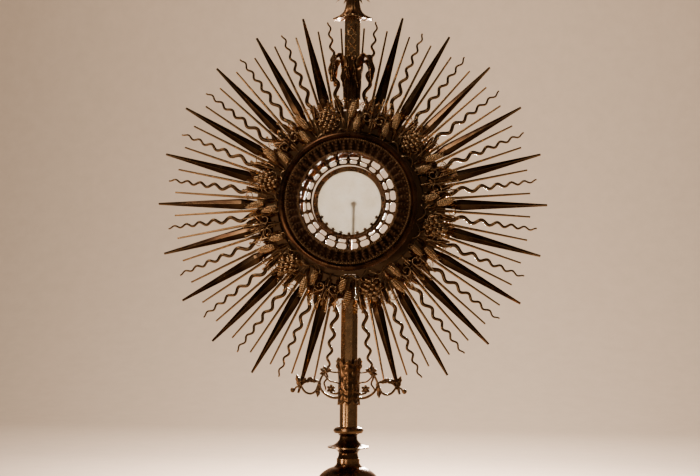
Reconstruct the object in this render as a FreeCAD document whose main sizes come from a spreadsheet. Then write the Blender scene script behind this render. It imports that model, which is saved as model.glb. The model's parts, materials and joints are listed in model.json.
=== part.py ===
"""A sunburst monstrance, free standing, as a parametric FreeCAD document.

The frame is millimetres, +Z up, with the origin at the centre of the foot's underside.  The front,
where the host is seen, faces -Y.  The object is a turned foot, knop and stem that carry a flat plate of
rays; a glazed drum passes through the plate and holds the lunette, with a hinged glass door behind.
"""
import FreeCAD, Part
import math
import os

import Sketcher
from FreeCAD import Placement, Rotation, Vector

doc = FreeCAD.newDocument("monstrance")


# ---------------------------------------------------------------- driving sizes, all in mm
SIZES = {
    "centre_height": 500,        # centre of the rays above the table
    "bezel_reach": 46,           # front of the bezel ahead of the ray plate's front face
    # rays
    "large_tip": 212, "wavy_tip": 202.5, "thin_tip": 194,
    "ray_root": 94, "large_waist": 120, "short_root": 154,
    "large_width": 12, "large_root_width": 5.4, "large_tip_width": 2.4, "large_rise": 4,
    "large_tip_rise": 1.6, "thin_root_width": 2.8, "thin_tip_width": 1.2, "thin_rise": 2.6,
    "thin_tip_rise": 1.2, "wavy_width": 3, "wavy_tip_width": 1.2, "wavy_rise": 2.6,
    "wave_height": 3.8, "wave_count": 5.8,
    "plate_outer": 103, "plate_thick": 2, "plate_hole": 66.1, "notch_width": 12.2,
    # wreath
    "wreath_inner": 79, "wreath_outer": 91, "wreath_thick": 6,
    "leaf_root": 79.5, "leaf_length": 34, "leaf_thick": 1.4,
    "outer_ear_radius": 102, "outer_ear_angle": 14, "outer_ear_half": 8.6,
    "inner_ear_radius": 87.5, "inner_ear_angle": 10.5, "inner_ear_half": 6.8,
    "ear_half_width": 3.5, "ear_lift": 13.2, "ear_stalk": 1.1,
    "grape_radius": 2.95, "grape_pitch": 6, "grape_centre": 93, "grape_lift": 10,
    "tendril_loop": 5.4, "tendril_wire": 0.8, "tendril_radius": 96.5, "tendril_lift": 6.8,
    "bract_half": 4.8, "bract_half_width": 2, "bract_rise": 4, "bract_radius": 85,
    # case
    "drum_outer": 66, "drum_inner": 63.8, "drum_front": 8, "drum_back": 70,
    "flange_outer": 76, "flange_front": 48, "flange_back": 50, "screw_circle": 71.5,
    "bezel_outer": 74, "bezel_roll": 4, "bezel_inner": 51.5, "bezel_seat": 3, "bezel_back": 6,
    "spigot_outer": 63.7, "spigot_inner": 62, "spigot_back": 10,
    "band_inner": 54, "band_outer": 65, "band_thick": 1.4,
    "outer_bead_circle": 67, "inner_bead_circle": 52.7, "bead_radius": 0.95,
    "gallery_inner": 38.6, "gallery_outer": 61.8, "gallery_thick": 1.6,
    "cell_outer_top": 51, "cell_outer_foot": 45.4, "cell_inner_top": 43.8, "cell_inner_foot": 40.6,
    "cell_wide": 9.6, "cell_narrow": 7.4, "cell_count": 24,
    "pane_radius": 61.7, "pane_front": 7.8, "pane_back": 9.9, "retainer_inner": 58, "retainer_back": 12,
    # lunette
    "lunette_front": 26, "lunette_outer": 39.6, "lunette_view": 34.1, "lunette_pane": 37,
    "host_radius": 35.5, "host_thick": 0.6, "crest_inner": 34.6, "crest_tip": 31.6,
    "slider_top": 54, "slider_base": 57, "slider_half": 7, "rail_front": 20, "rail_back": 62,
    "slot_gap": 0.2, "handle_half": 1.4, "handle_offset": 4.5,
    # door, hinge and latch
    "door_front": 70.4, "door_back": 74.4, "door_outer": 68, "door_view": 55, "door_pane": 59.8,
    "hinge_offset": 72, "hinge_depth": 72, "knuckle_radius": 3, "knuckle_half": 3.8, "hinge_half": 11,
    "pin_radius": 1.1, "pin_gap": 0.05, "latch_offset": 73, "latch_length": 16,
    # stem, knop and foot
    "stem_radius": 9.7, "stem_top_gap": 103.5, "rod_radius": 3.6, "rod_gap": 0.2,
    "foot_radius": 115, "pad_inner": 98, "pad_thick": 2, "foot_top": 112, "neck_top": 146,
    "knop_top": 226, "knop_radius": 38, "knop_middle": 188, "spool_top": 260, "stem_joint": 306,
    "shell": 2.6, "sleeve_foot": 283, "sleeve_top": 336,
    "scroll_height": 300, "scroll_wire": 1.4, "scroll_depth": 6.8,
    # column, canopy and cross
    "column_radius": 9, "column_top": 703, "canopy_radius": 22.5, "canopy_top": 727, "knob_top": 734,
    "cross_centre": 742, "cross_half": 34, "cross_rise": 38, "cross_bar": 3.4, "cross_thick": 4,
    "trefoil_radius": 4.8, "glory_outer": 27, "glory_inner": 8, "stud_radius": 3,
}


class Size:
    """A number together with the spreadsheet expression that gives it."""

    def __init__(self, value, text):
        self.value = float(value)
        self.text = text

    def __add__(self, other):
        other = as_size(other)
        return Size(self.value + other.value, f"({self.text} + {other.text})")

    def __sub__(self, other):
        other = as_size(other)
        return Size(self.value - other.value, f"({self.text} - {other.text})")

    def __mul__(self, other):
        other = as_size(other)
        return Size(self.value * other.value, f"({self.text} * {other.text})")

    def __truediv__(self, other):
        other = as_size(other)
        return Size(self.value / other.value, f"({self.text} / {other.text})")

    def __rsub__(self, other):
        return as_size(other) - self

    def __neg__(self):
        return Size(-self.value, f"(0 - {self.text})")

    __radd__ = __add__
    __rmul__ = __mul__


def as_size(number):
    return number if isinstance(number, Size) else Size(number, f"{float(number):g}")


class Sheet:
    """The spreadsheet's cells by alias, such as s.foot_radius."""

    def __init__(self, sizes):
        page = doc.addObject("Spreadsheet::Sheet", "Sizes")
        for row, (alias, value) in enumerate(sizes.items(), start=1):
            page.set(f"A{row}", alias)
            page.set(f"B{row}", str(value))
            page.setAlias(f"B{row}", alias)
            setattr(self, alias, Size(value, f"Sizes.{alias}"))


s = Sheet(SIZES)
doc.recompute()
nodes = []


# ---------------------------------------------------------------- helpers
def node(item, label):
    """Marks a document object as a sub-part that is written to parts/label.step."""
    item.Label = label
    nodes.append(item)
    return item


def bind(item, **sizes):
    for name, size in sizes.items():
        item.setExpression(name, as_size(size).text)
    return item


def upright(x=0, y=0, z=0):
    return Placement(Vector(x, y, z), Rotation())


def facing(depth=0.0, turn=0.0):
    """A frame at the rays' centre whose Z runs rearwards, measured from the bezel's front."""
    spin = Rotation(Vector(0, 1, 0), turn) * Rotation(Vector(1, 0, 0), -90)
    return Placement(Vector(0, depth - s.bezel_reach.value, s.centre_height.value), spin)


def radial(angle, reach=0.0, depth=0.0):
    """A frame on the ray plate whose Z points outwards at angle (degrees from +X towards +Z) and whose
    Y runs rearwards."""
    spin = Rotation(Vector(0, 1, 0), 90 - angle)
    return Placement(Vector(0, depth, s.centre_height.value) + spin.multVec(Vector(0, 0, reach)), spin)


def plane_of(body, role):
    return next(f for f in body.Origin.OriginFeatures if f.Role == role)


def outline(sketch, points):
    """Draws a closed outline and binds every corner to the sheet.

    A point is (x, y), or (x, y, radius, side) where the stretch that ends there is an arc of that
    radius whose centre lies left (side 1) or right (side -1) of the way it is drawn."""
    corners = [Vector(as_size(p[0]).value, as_size(p[1]).value, 0) for p in points]
    count = len(points)
    ends = []
    rules = []
    formulas = {}
    for i in range(count):
        start, end, goal = corners[i], corners[(i + 1) % count], points[(i + 1) % count]
        if len(goal) == 2:
            sketch.addGeometry(Part.LineSegment(start, end), False)
            ends.append((1, 2))
            continue
        radius, side = as_size(goal[2]), goal[3]
        chord = end - start
        rise = math.sqrt(max(radius.value ** 2 - (chord.Length / 2) ** 2, 0))
        left = Vector(-chord.y, chord.x, 0) / chord.Length
        centre = (start + end) / 2 + left * (rise * side)
        first, last = (start, end) if side > 0 else (end, start)
        angles = [math.atan2(p.y - centre.y, p.x - centre.x) for p in (first, last)]
        circle = Part.Circle(centre, Vector(0, 0, 1), radius.value)
        sketch.addGeometry(Part.ArcOfCircle(circle, *angles), False)
        ends.append((1, 2) if side > 0 else (2, 1))
        formulas[len(rules)] = radius.text
        rules.append(Sketcher.Constraint("Radius", i, radius.value))
    for i in range(count):
        following = (i + 1) % count
        rules.append(Sketcher.Constraint("Coincident", i, ends[i][1], following, ends[following][0]))
        for kind, axis, size in (("DistanceX", -2, points[i][0]), ("DistanceY", -1, points[i][1])):
            size = as_size(size)
            if abs(size.value) < 1e-9:
                rules.append(Sketcher.Constraint("PointOnObject", i, ends[i][0], axis))
                continue
            if size.value > 0:
                rule = Sketcher.Constraint(kind, -1, 1, i, ends[i][0], size.value)
            else:
                size = -size
                rule = Sketcher.Constraint(kind, i, ends[i][0], -1, 1, size.value)
            formulas[len(rules)] = size.text
            rules.append(rule)
    sketch.addConstraint(rules)
    for index, text in formulas.items():
        sketch.setExpression(f"Constraints[{index}]", text)


def sketch_on(body, name, role, points, lift=None):
    sketch = body.newObject("Sketcher::SketchObject", name)
    sketch.AttachmentSupport = (plane_of(body, role), [""])
    sketch.MapMode = "FlatFace"
    if lift is not None:
        sketch.setExpression(".AttachmentOffset.Base.z", as_size(lift).text)
    outline(sketch, points)
    return sketch


def turned(label, points, place=None):
    """A lathe-turned piece: the outline (radius, height) revolved about its own Z."""
    body = doc.addObject("PartDesign::Body", label)
    sketch = sketch_on(body, label + "_profile", "XZ_Plane", points)
    feature = body.newObject("PartDesign::Revolution", label + "_turn")
    feature.Profile = sketch
    feature.ReferenceAxis = (sketch, ["V_Axis"])
    feature.Angle = 360
    body.Placement = place or upright()
    return body


def ring(inner, outer, front, back):
    return [(inner, front), (outer, front), (outer, back), (inner, back)]


def wire_section(circle, level, radius):
    """The eight-sided section of a thin ring of wire, drawn inside a circle of the given radius."""
    wide, narrow = radius * 0.924, radius * 0.383
    steps = [(wide, -narrow), (wide, narrow), (narrow, wide), (-narrow, wide), (-wide, narrow),
             (-wide, -narrow), (-narrow, -wide), (narrow, -wide)]
    return [(circle + out, level + up) for out, up in steps]


def lofted(label, sections):
    """A straight-sided piece through outlines at given heights along its own Z."""
    body = doc.addObject("PartDesign::Body", label)
    sketches = [sketch_on(body, f"{label}_at{i}", "XY_Plane", points, lift)
                for i, (lift, points) in enumerate(sections)]
    feature = body.newObject("PartDesign::AdditiveLoft", label + "_loft")
    feature.Profile = sketches[0]
    feature.Sections = sketches[1:]
    feature.Ruled = True
    return body


def padded(label, points, length, place=None):
    """A flat piece: an outline in its own XY plane, thickened along +Z."""
    body = doc.addObject("PartDesign::Body", label)
    sketch = sketch_on(body, label + "_outline", "XY_Plane", points)
    feature = body.newObject("PartDesign::Pad", label + "_pad")
    feature.Profile = sketch
    bind(feature, Length=length)
    body.Placement = place or upright()
    return body


def made(kind, name, place=None, **sizes):
    item = bind(doc.addObject(kind, name), **sizes)
    if place is not None:
        item.Placement = place
    return item


def block(name, low, high):
    """A box between two corners given in sizes."""
    item = doc.addObject("Part::Box", name)
    low = [as_size(v) for v in low]
    high = [as_size(v) for v in high]
    bind(item, Length=high[0] - low[0], Width=high[1] - low[1], Height=high[2] - low[2])
    for axis, corner in zip("xyz", low):
        item.setExpression(f".Placement.Base.{axis}", corner.text)
    return item


def cut(name, base, *tools):
    for i, tool in enumerate(tools):
        step = doc.addObject("Part::Cut", f"{name}_less{i}")
        step.Base, step.Tool = base, tool
        base = step
    return base


def fused(name, *pieces):
    whole = doc.addObject("Part::MultiFuse", name)
    whole.Shapes = list(pieces)
    return whole


def group(label, shapes):
    """Several separate solids as one node."""
    item = doc.addObject("Part::Feature", label)
    item.Shape = Part.Compound(shapes)
    return node(item, label)


def copies(shape, places):
    made_copies = []
    for place in places:
        twin = shape.copy()
        twin.Placement = place.multiply(shape.Placement)
        made_copies.append(twin)
    return made_copies


def depth_y(depth):
    """The row's Y of a distance behind the bezel's front."""
    return as_size(depth) - s.bezel_reach


# ---------------------------------------------------------------- foot, knop and stem
def build_foot():
    bore = s.rod_radius + s.rod_gap
    node(turned("base_pad", ring(s.pad_inner, s.foot_radius - 2, 0, s.pad_thick)), "base_pad")
    rim = s.foot_radius
    top = s.foot_top
    node(turned("foot_shell", [
        (s.pad_inner, s.pad_thick), (rim, s.pad_thick), (rim, 10), (rim - 5, 15, 5, 1),
        (rim - 9, 15), (rim - 17, 22, 9, -1), (rim - 21, 22), (rim - 29, 30, 8, 1), (rim - 33, 30),
        (rim * 0.47, 62, 58, 1), (20, top - 5, 70, -1), (22, top - 4), (22, top), (bore, top),
        (bore, top - 5), (16, top - 5), (rim * 0.47 - 3, 58, 74, 1), (rim - 38, 27, 55, -1),
        (rim - 29, 18), (rim - 16, 12), (rim - 6, 5), (s.pad_inner, 5),
    ]), "foot_shell")
    wire = turned("foot_beaded_wire", wire_section(rim - 13.25, 19.15, as_size(2)))
    node(wire, "foot_beaded_wire")


def build_stem():
    bore = s.rod_radius + s.rod_gap
    foot = s.foot_top
    neck = s.neck_top
    node(turned("lower_neck", [
        (bore, foot), (19, foot), (20, foot + 3, 3, 1), (18, foot + 6, 3, 1), (13, foot + 9),
        (11, foot + 21, 18, -1), (15, neck - 7, 12, -1), (18.5, neck - 6), (18.5, neck - 2), (16, neck),
        (bore, neck),
    ]), "lower_neck")
    wide, middle, high = s.knop_radius, s.knop_middle, s.knop_top
    node(turned("knop", [
        (bore, neck), (13, neck), (15, neck + 4), (wide, middle, 46, 1), (16, high - 9, 30, 1),
        (12.5, high - 5, 8, -1), (12.5, high), (bore, high), (bore, high - 3), (9, high - 5),
        (12, high - 12), (wide - s.shell, middle, 28, -1), (12, neck + 6, 43, -1), (bore, neck + 3),
    ]), "knop")
    node(turned("knop_girdle", [
        (wide + 0.2, middle - 3), (wide + 2, middle - 3), (wide + 2, middle + 3, 3.4, 1),
        (wide + 0.2, middle + 3),
    ]), "knop_girdle")
    top = s.spool_top
    node(turned("upper_spool", [
        (bore, high), (12, high), (10.5, high + 6, 10, -1), (14, high + 10, 10, -1),
        (22.2, high + 11.5), (22.2, high + 13), (10, high + 20, 15, -1), (9.4, high + 24, 20, -1),
        (15.5, high + 27.5, 8, -1), (16.6, high + 30), (14.5, high + 32.5), (11, top), (bore, top),
    ]), "upper_spool")
    joint = s.stem_joint
    tube = made("Part::Cylinder", "stem_lower_bar", Radius=s.stem_radius, Height=joint - top)
    hole = made("Part::Cylinder", "stem_lower_bore", Radius=bore, Height=joint - top)
    for item in (tube, hole):
        item.setExpression(".Placement.Base.z", top.text)
    node(cut("stem_lower", tube, hole), "stem_lower")
    node(shaft("stem_upper", s.stem_radius, joint, s.centre_height - s.stem_top_gap,
               s.centre_height - s.flange_outer - 0.4, (joint, 30, s.rod_radius)), "stem_upper")
    sleeve = turned("stem_acanthus", [
        (s.stem_radius + 0.2, s.sleeve_foot), (s.stem_radius + 1.4, s.sleeve_foot),
        (s.stem_radius + 2.6, s.sleeve_foot + 20, 60, -1), (s.stem_radius + 3.2, s.sleeve_top - 6),
        (s.stem_radius + 1.8, s.sleeve_top), (s.stem_radius + 0.2, s.sleeve_top),
    ])
    node(sleeve, "stem_acanthus")
    doc.recompute()
    core = Part.makeCylinder(s.stem_radius.value + 0.3, s.spool_top.value, Vector(0, 0, s.knop_top.value))
    build_scrolls(sleeve.Shape.fuse(core))


def shaft(name, radius, low, high, tenon_end, bore):
    """An eight-sided shaft with a flat tenon that laps the back of the ray plate."""
    rise = high - low
    prism = made("Part::Prism", name + "_bar", Circumradius=radius, Height=rise)
    prism.Polygon = 8
    prism.Placement = Placement(Vector(), Rotation(Vector(0, 0, 1), 22.5))
    prism.setExpression(".Placement.Base.z", low.text)
    half = s.notch_width / 2 - 0.1
    if tenon_end.value > high.value:
        tenon = block(name + "_tenon", (-half, 0, high - 8), (half, s.wreath_thick, tenon_end))
    else:
        tenon = block(name + "_tenon", (-half, 0, tenon_end), (half, s.wreath_thick, low + 8))
    bore_foot, bore_rise, bore_radius = bore
    hole = made("Part::Cylinder", name + "_bore", Radius=bore_radius, Height=bore_rise)
    hole.setExpression(".Placement.Base.z", as_size(bore_foot).text)
    return cut(name, fused(name + "_whole", prism, tenon), hole)


def build_tie_rod():
    low = s.foot_top - 18
    rod = made("Part::Cylinder", "tie_rod", Radius=s.rod_radius, Height=s.stem_joint + 28 - low)
    rod.setExpression(".Placement.Base.z", low.text)
    node(rod, "tie_rod")
    washer = turned("tie_rod_washer", ring(s.rod_radius + s.rod_gap, 15, s.foot_top - 7, s.foot_top - 5))
    node(washer, "tie_rod_washer")
    nut = made("Part::Prism", "nut_blank", Circumradius=s.rod_radius * 2, Height=6)
    hole = made("Part::Cylinder", "nut_thread", Radius=s.rod_radius, Height=6)
    for item in (nut, hole):
        item.setExpression(".Placement.Base.z", (s.foot_top - 13).text)
    node(cut("tie_rod_nut", nut, hole), "tie_rod_nut")


# ---------------------------------------------------------------- scrolls beside the stem
def scroll_spot(out, up):
    """A point in the scrolls' plane: out from the stem's axis and up from the scrolls' height."""
    return Vector(out, -s.scroll_depth.value, s.scroll_height.value + up)


def rod(points, radius):
    """A round rod bent smoothly through points (out, up)."""
    curve = Part.BSplineCurve()
    curve.interpolate([scroll_spot(*p) for p in points])
    path = Part.Wire(curve.toShape())
    section = Part.Wire(Part.makeCircle(radius, scroll_spot(*points[0]), curve.tangent(0)[0]))
    return path.makePipeShell([section], True, True)


def bud(out, up, half_length, half_width, tilt):
    """A leaf bud: an ellipsoid that leans out by tilt degrees from upright."""
    shape = ellipsoid(half_length, half_width, half_width)
    shape.Placement = Placement(scroll_spot(out, up), Rotation(Vector(0, 1, 0), tilt))
    return shape


def build_scrolls(sleeve):
    """A pair of brackets, each a large and a small C-scroll with leaf buds, fitted round the sleeve."""
    wire = s.scroll_wire.value
    pieces = [
        rod([(9, -8.4), (21, -7.4), (28.8, -1), (31, 6), (28, 14), (23, 19)], wire),
        rod([(32, 7.5), (34.2, 0.5), (41.5, -5), (49, 0), (52, 7)], wire * 0.9),
        rod([(48.5, -0.5), (54, 2.4), (59, -0.5)], wire * 0.9),
        rod([(31, 7.8), (41.5, 8.6), (52, 7.4)], wire),
        rod([(8, 19), (16, 18.4), (23, 19.6)], wire * 0.7),
        rod([(25, 16.5), (18.5, 9), (9, 6)], wire * 0.7),
        rod([(18.7, 0.8), (14, -2.2), (8, -1)], wire),
        bud(54.5, 7.5, 6.4, 2.3, 25),
        bud(32.4, -1.5, 6, 2, 4),
        bud(24, 19.5, 4.2, 3, 80),
        Part.makeSphere(2.8, scroll_spot(59.5, -1)),
        Part.makeCylinder(4, 3.4, scroll_spot(18.7, 0.8) + Vector(0, 1.7, 0), Vector(0, -1, 0)),
    ]
    side = pieces[0].multiFuse(pieces[1:]).cut(sleeve)
    group("scroll_right", side.Solids)
    group("scroll_left", side.mirror(Vector(0, 0, 0), Vector(1, 0, 0)).Solids)


# ---------------------------------------------------------------- rays
def peak(width, rise):
    """A low gable: flat behind, ridged in front."""
    return [(-(width / 2), 0), (width / 2, 0), (0, -rise)]


def wavy_ray():
    """A flame-shaped ray: a band whose middle line swings from side to side, widest a little inside
    its middle and shorter and quicker towards the tip."""
    root, tip = s.ray_root.value, s.wavy_tip.value
    steps = 64
    waves = 16

    def edge(side):
        points = []
        for i in range(steps + 1):
            share = i / steps
            swing = s.wave_height.value * (1 - 0.5 * (2 * share - 0.8) ** 2)
            phase = 2 * math.pi * s.wave_count.value * share ** 1.5
            middle = swing * math.sin(phase)
            half = (s.wavy_width.value + (s.wavy_tip_width.value - s.wavy_width.value) * share) / 2
            points.append(Vector(middle + side * half, 0, root + (tip - root) * share))
        curve = Part.BSplineCurve()
        curve.interpolate(points)
        return curve

    left, right = edge(-1), edge(1)
    caps = [Part.LineSegment(left.value(u), right.value(u)).toShape() for u in (0, 1)]
    stretches = [side.toShape(i / waves, (i + 1) / waves) for side in (left, right) for i in range(waves)]
    face = Part.Face(Part.Wire(Part.__sortEdges__(stretches + caps)))
    return face.extrude(Vector(0, -s.wavy_rise.value, 0))


def build_rays():
    spacing = 15.0
    large = lofted("large_ray", [
        (s.ray_root, peak(s.large_root_width, s.large_rise * 0.6)),
        (s.large_waist, peak(s.large_width, s.large_rise)),
        (s.large_tip, peak(s.large_tip_width, s.large_tip_rise)),
    ])
    thin = lofted("thin_ray", [
        (s.ray_root, peak(s.thin_root_width, s.thin_rise)),
        (s.thin_tip, peak(s.thin_tip_width, s.thin_tip_rise)),
    ])
    short = lofted("short_ray", [
        (s.short_root, peak(s.thin_root_width * 0.6, s.thin_rise * 0.6)),
        (s.thin_tip, peak(s.thin_tip_width, s.thin_tip_rise)),
    ])
    doc.recompute()
    angles = [spacing * i for i in range(24)]
    upright_angles = (90, 270)
    group("rays_large", copies(large.Shape, [radial(a) for a in angles if a not in upright_angles]))
    group("rays_wavy", copies(wavy_ray(), [radial(a + spacing / 2) for a in angles]))
    beside = [a + step for a in angles for step in (spacing / 4, 3 * spacing / 4)]
    full = [a for a in beside if min(abs(a % 360 - u) for u in upright_angles) > 4]
    crowned = [90 - spacing / 4, 90 + spacing / 4]
    group("rays_thin", copies(thin.Shape, [radial(a) for a in full])
          + copies(short.Shape, [radial(a) for a in crowned]))
    plate = made("Part::Cylinder", "plate_disc", Radius=s.plate_outer, Height=s.plate_thick)
    hole = made("Part::Cylinder", "plate_hole", Radius=s.plate_hole, Height=s.plate_thick)
    for item in (plate, hole):
        item.Placement = facing(s.bezel_reach.value)
    half = s.notch_width / 2
    deep = s.plate_thick + 1
    notches = []
    for name, near, far in (("notch_low", -s.plate_outer - 5, -s.flange_outer),
                            ("notch_high", s.flange_outer, s.plate_outer + 5)):
        notches.append(block(name, (-half, -1, s.centre_height + near), (half, deep, s.centre_height + far)))
    node(cut("ray_plate", plate, hole, *notches), "ray_plate")
    build_rivets(angles, upright_angles)


def build_rivets(angles, left_out):
    """Domed rivet heads behind the plate, one for each large ray."""
    radius, circle = 1.8, s.plate_outer.value - 4.5
    dome = Part.makeSphere(radius, Vector(0, 0, 0), Vector(0, 1, 0), 0, 90, 360)
    places = [radial(a, circle, s.plate_thick.value) for a in angles if a not in left_out]
    group("ray_rivets", copies(dome, places))


# ---------------------------------------------------------------- wreath
LEAF_ANGLES = [15 + 60 * i for i in range(6)]
GRAPE_ANGLES = [45 + 60 * i for i in range(6)]


def ellipsoid(half_length, half_width, half_depth):
    """An ellipsoid along Z."""
    ball = Part.makeSphere(1)
    stretch = FreeCAD.Matrix()
    stretch.scale(half_width, half_depth, half_length)
    return ball.transformGeometry(stretch)


def seed(label, half_length, half_width):
    """A seed-shaped turned piece along Z, with small flat ends."""
    end = half_width * 0.15
    bulge = half_width - end
    radius = (half_length * half_length + bulge * bulge) / (bulge * 2)
    return turned(label, [(0, -half_length), (end, -half_length), (end, half_length, radius, 1),
                          (0, half_length)])


def ear(body, half_length):
    """A wheat ear with a short stalk back to the front of the wreath ring."""
    start = Vector(0, 0, -half_length * 0.6)
    back = (s.ear_lift - s.wreath_thick - s.ear_stalk * 0.6).value
    foot = Vector(0, back, start.z - 3)
    stalk = Part.makeCylinder(s.ear_stalk.value, (foot - start).Length, start, foot - start)
    return body.Shape.fuse(stalk)


def leaf_plate():
    """A five-lobed vine leaf along Z, flat, thickened towards the front."""
    length = s.leaf_length.value
    lobes = [(0.0, 0.0), (0.30, 0.02), (0.26, 0.22), (0.46, 0.34), (0.30, 0.46), (0.36, 0.68),
             (0.16, 0.70), (0.0, 1.0)]
    right = [Vector(x * length, 0, z * length) for x, z in lobes]
    left = [Vector(-p.x, 0, p.z) for p in reversed(right[1:-1])]
    corners = right + left + [right[0]]
    return Part.Face(Part.makePolygon(corners)).extrude(Vector(0, -s.leaf_thick.value, 0))


def grape_cluster():
    """A hanging bunch: rows of grapes, as separate balls that just miss each other, on a flat stalk."""
    pitch, radius = s.grape_pitch.value, s.grape_radius.value
    spots = []
    for row, count in enumerate((2, 3, 2, 1)):
        for i in range(count):
            spots.append(Vector((i - (count - 1) / 2) * pitch, 0, (row - 1.2) * pitch))
    lift = s.grape_lift.value - s.wreath_thick.value
    stalk = Part.makeBox(3, lift - radius, 2.5 * pitch, Vector(-1.5, radius, -1.2 * pitch))
    return Part.Compound([Part.makeSphere(radius, spot) for spot in spots] + [stalk])


def ridged_leaf(label, half_length, half_width, rise):
    """A small leaf along Z with a flat back and a sharp ridge towards the front."""
    sections = []
    for up, share in ((-half_length, 0.2), (as_size(0), 1), (half_length, 0.2)):
        width = half_width * share
        sections.append((up, [(-width, 0), (0, -(rise * share)), (width, 0)]))
    return lofted(label, sections)


def build_wreath():
    node(turned("wreath_ring", [
        (s.wreath_inner, 0), (s.wreath_outer, 0), (s.wreath_outer - 1, s.wreath_thick),
        (s.wreath_inner + 1, s.wreath_thick),
    ], Placement(Vector(0, 0, s.centre_height.value), Rotation(Vector(1, 0, 0), 90))), "wreath_ring")
    front = -s.wreath_thick.value
    group("vine_leaves", copies(leaf_plate(), [radial(a, s.leaf_root.value, front) for a in LEAF_ANGLES]))
    lift = s.ear_lift.value
    outer_seed = seed("outer_ear", s.outer_ear_half, s.ear_half_width)
    inner_seed = seed("inner_ear", s.inner_ear_half, s.ear_half_width)
    bract = ridged_leaf("bract", s.bract_half, s.bract_half_width, s.bract_rise)
    doc.recompute()
    outer = ear(outer_seed, s.outer_ear_half.value)
    inner = ear(inner_seed, s.inner_ear_half.value)
    ears = []
    for centre in LEAF_ANGLES:
        for shape, radius, swing in ((outer, s.outer_ear_radius, s.outer_ear_angle),
                                     (inner, s.inner_ear_radius, s.inner_ear_angle)):
            for side in (-1, 1):
                spot = radial(centre + side * swing.value, radius.value, -lift).Base
                ears += copies(shape, [Placement(spot, radial(centre).Rotation)])
    group("wheat_ears", ears)
    clusters = copies(grape_cluster(), [
        radial(a, s.grape_centre.value, -s.grape_lift.value) for a in GRAPE_ANGLES])
    group("grape_clusters", [solid for cluster in clusters for solid in cluster.Solids])
    loop = Part.makeTorus(s.tendril_loop.value, s.tendril_wire.value, Vector(0, 0, 0), Vector(0, 1, 0))
    loops = [radial(a + side * 10.5, s.tendril_radius.value, -s.tendril_lift.value)
             for a in GRAPE_ANGLES for side in (-1, 1)]
    group("tendrils", copies(loop, loops))
    bracts = [radial(a + side * 18, s.bract_radius.value, front)
              for a in LEAF_ANGLES for side in (-1, 1)]
    group("wheat_bracts", copies(bract.Shape, bracts))


# ---------------------------------------------------------------- case
def build_case():
    seat = facing()
    node(turned("case_drum", [
        (s.drum_inner, s.drum_front), (s.drum_outer, s.drum_front), (s.drum_outer, s.flange_front),
        (s.flange_outer, s.flange_front), (s.flange_outer, s.flange_back), (s.drum_outer, s.flange_back),
        (s.drum_outer, s.drum_back), (s.drum_inner, s.drum_back),
    ], seat), "case_drum")
    roll = s.bezel_roll
    middle = s.bezel_outer - roll
    node(turned("bezel", [
        (s.bezel_inner, s.bezel_seat), (s.outer_bead_circle + 0.6, s.bezel_seat), (middle, 0),
        (s.bezel_outer, roll, roll, 1), (middle, roll * 2, roll, 1), (s.spigot_outer, roll * 2),
        (s.spigot_outer, s.spigot_back), (s.spigot_inner, s.spigot_back), (s.spigot_inner, s.bezel_back),
        (s.bezel_inner, s.bezel_back),
    ], seat), "bezel")
    node(turned("bezel_leaf_band", ring(s.band_inner, s.band_outer, s.bezel_seat - s.band_thick,
                                        s.bezel_seat), seat), "bezel_leaf_band")
    for label, circle in (("outer_beaded_wire", s.outer_bead_circle - 0.8),
                          ("inner_beaded_wire", s.inner_bead_circle)):
        wire = turned(label, wire_section(circle, s.bezel_seat - s.bead_radius, s.bead_radius), seat)
        node(wire, label)
    build_gallery(seat)
    node(turned("front_glass", ring(0, s.pane_radius, s.pane_front, s.pane_back), seat), "front_glass")
    node(turned("glass_retainer", ring(s.retainer_inner, s.drum_inner - 0.1, s.spigot_back,
                                       s.retainer_back), seat), "glass_retainer")
    build_flange_screws()


def build_gallery(seat):
    """A thin ring pierced by two rows of windows."""
    body = doc.addObject("PartDesign::Body", "pierced_gallery")
    sketch = sketch_on(body, "gallery_profile", "XZ_Plane", ring(
        s.gallery_inner, s.gallery_outer, s.bezel_back, s.bezel_back + s.gallery_thick))
    blank = body.newObject("PartDesign::Revolution", "gallery_blank")
    blank.Profile = sketch
    blank.ReferenceAxis = (sketch, ["V_Axis"])
    blank.Angle = 360
    pockets = []
    for name, foot, top, low, high in (
            ("outer_window", s.cell_outer_foot, s.cell_outer_top, s.cell_wide * 0.88, s.cell_wide),
            ("inner_window", s.cell_inner_foot, s.cell_inner_top, s.cell_narrow * 0.94, s.cell_narrow)):
        window = sketch_on(body, name, "XY_Plane", [
            (-(low / 2), foot), (low / 2, foot), (high / 2, top), (-(high / 2), top)])
        pocket = body.newObject("PartDesign::Pocket", name + "_cut")
        pocket.Profile = window
        pocket.Type = "ThroughAll"
        pocket.Midplane = True
        pockets.append(pocket)
    pattern = body.newObject("PartDesign::PolarPattern", "gallery_pattern")
    pattern.Originals = pockets
    pattern.Axis = (plane_of(body, "Z_Axis"), [""])
    pattern.Angle = 360
    pattern.setExpression("Occurrences", s.cell_count.text)
    body.Tip = pattern
    body.Placement = seat
    node(body, "pierced_gallery")


def build_flange_screws():
    head = Part.makeCylinder(2.2, 1.4, Vector(0, 0, 0), Vector(0, 1, 0))
    places = [radial(30 + 60 * i, s.screw_circle.value, depth_y(s.flange_back).value) for i in range(6)]
    group("flange_screws", copies(head, places))
    back = s.wreath_thick.value
    spots = [radial(a, r, back) for a in (90, 270) for r in (81, 97)]
    group("tenon_screws", copies(head, spots))


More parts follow.
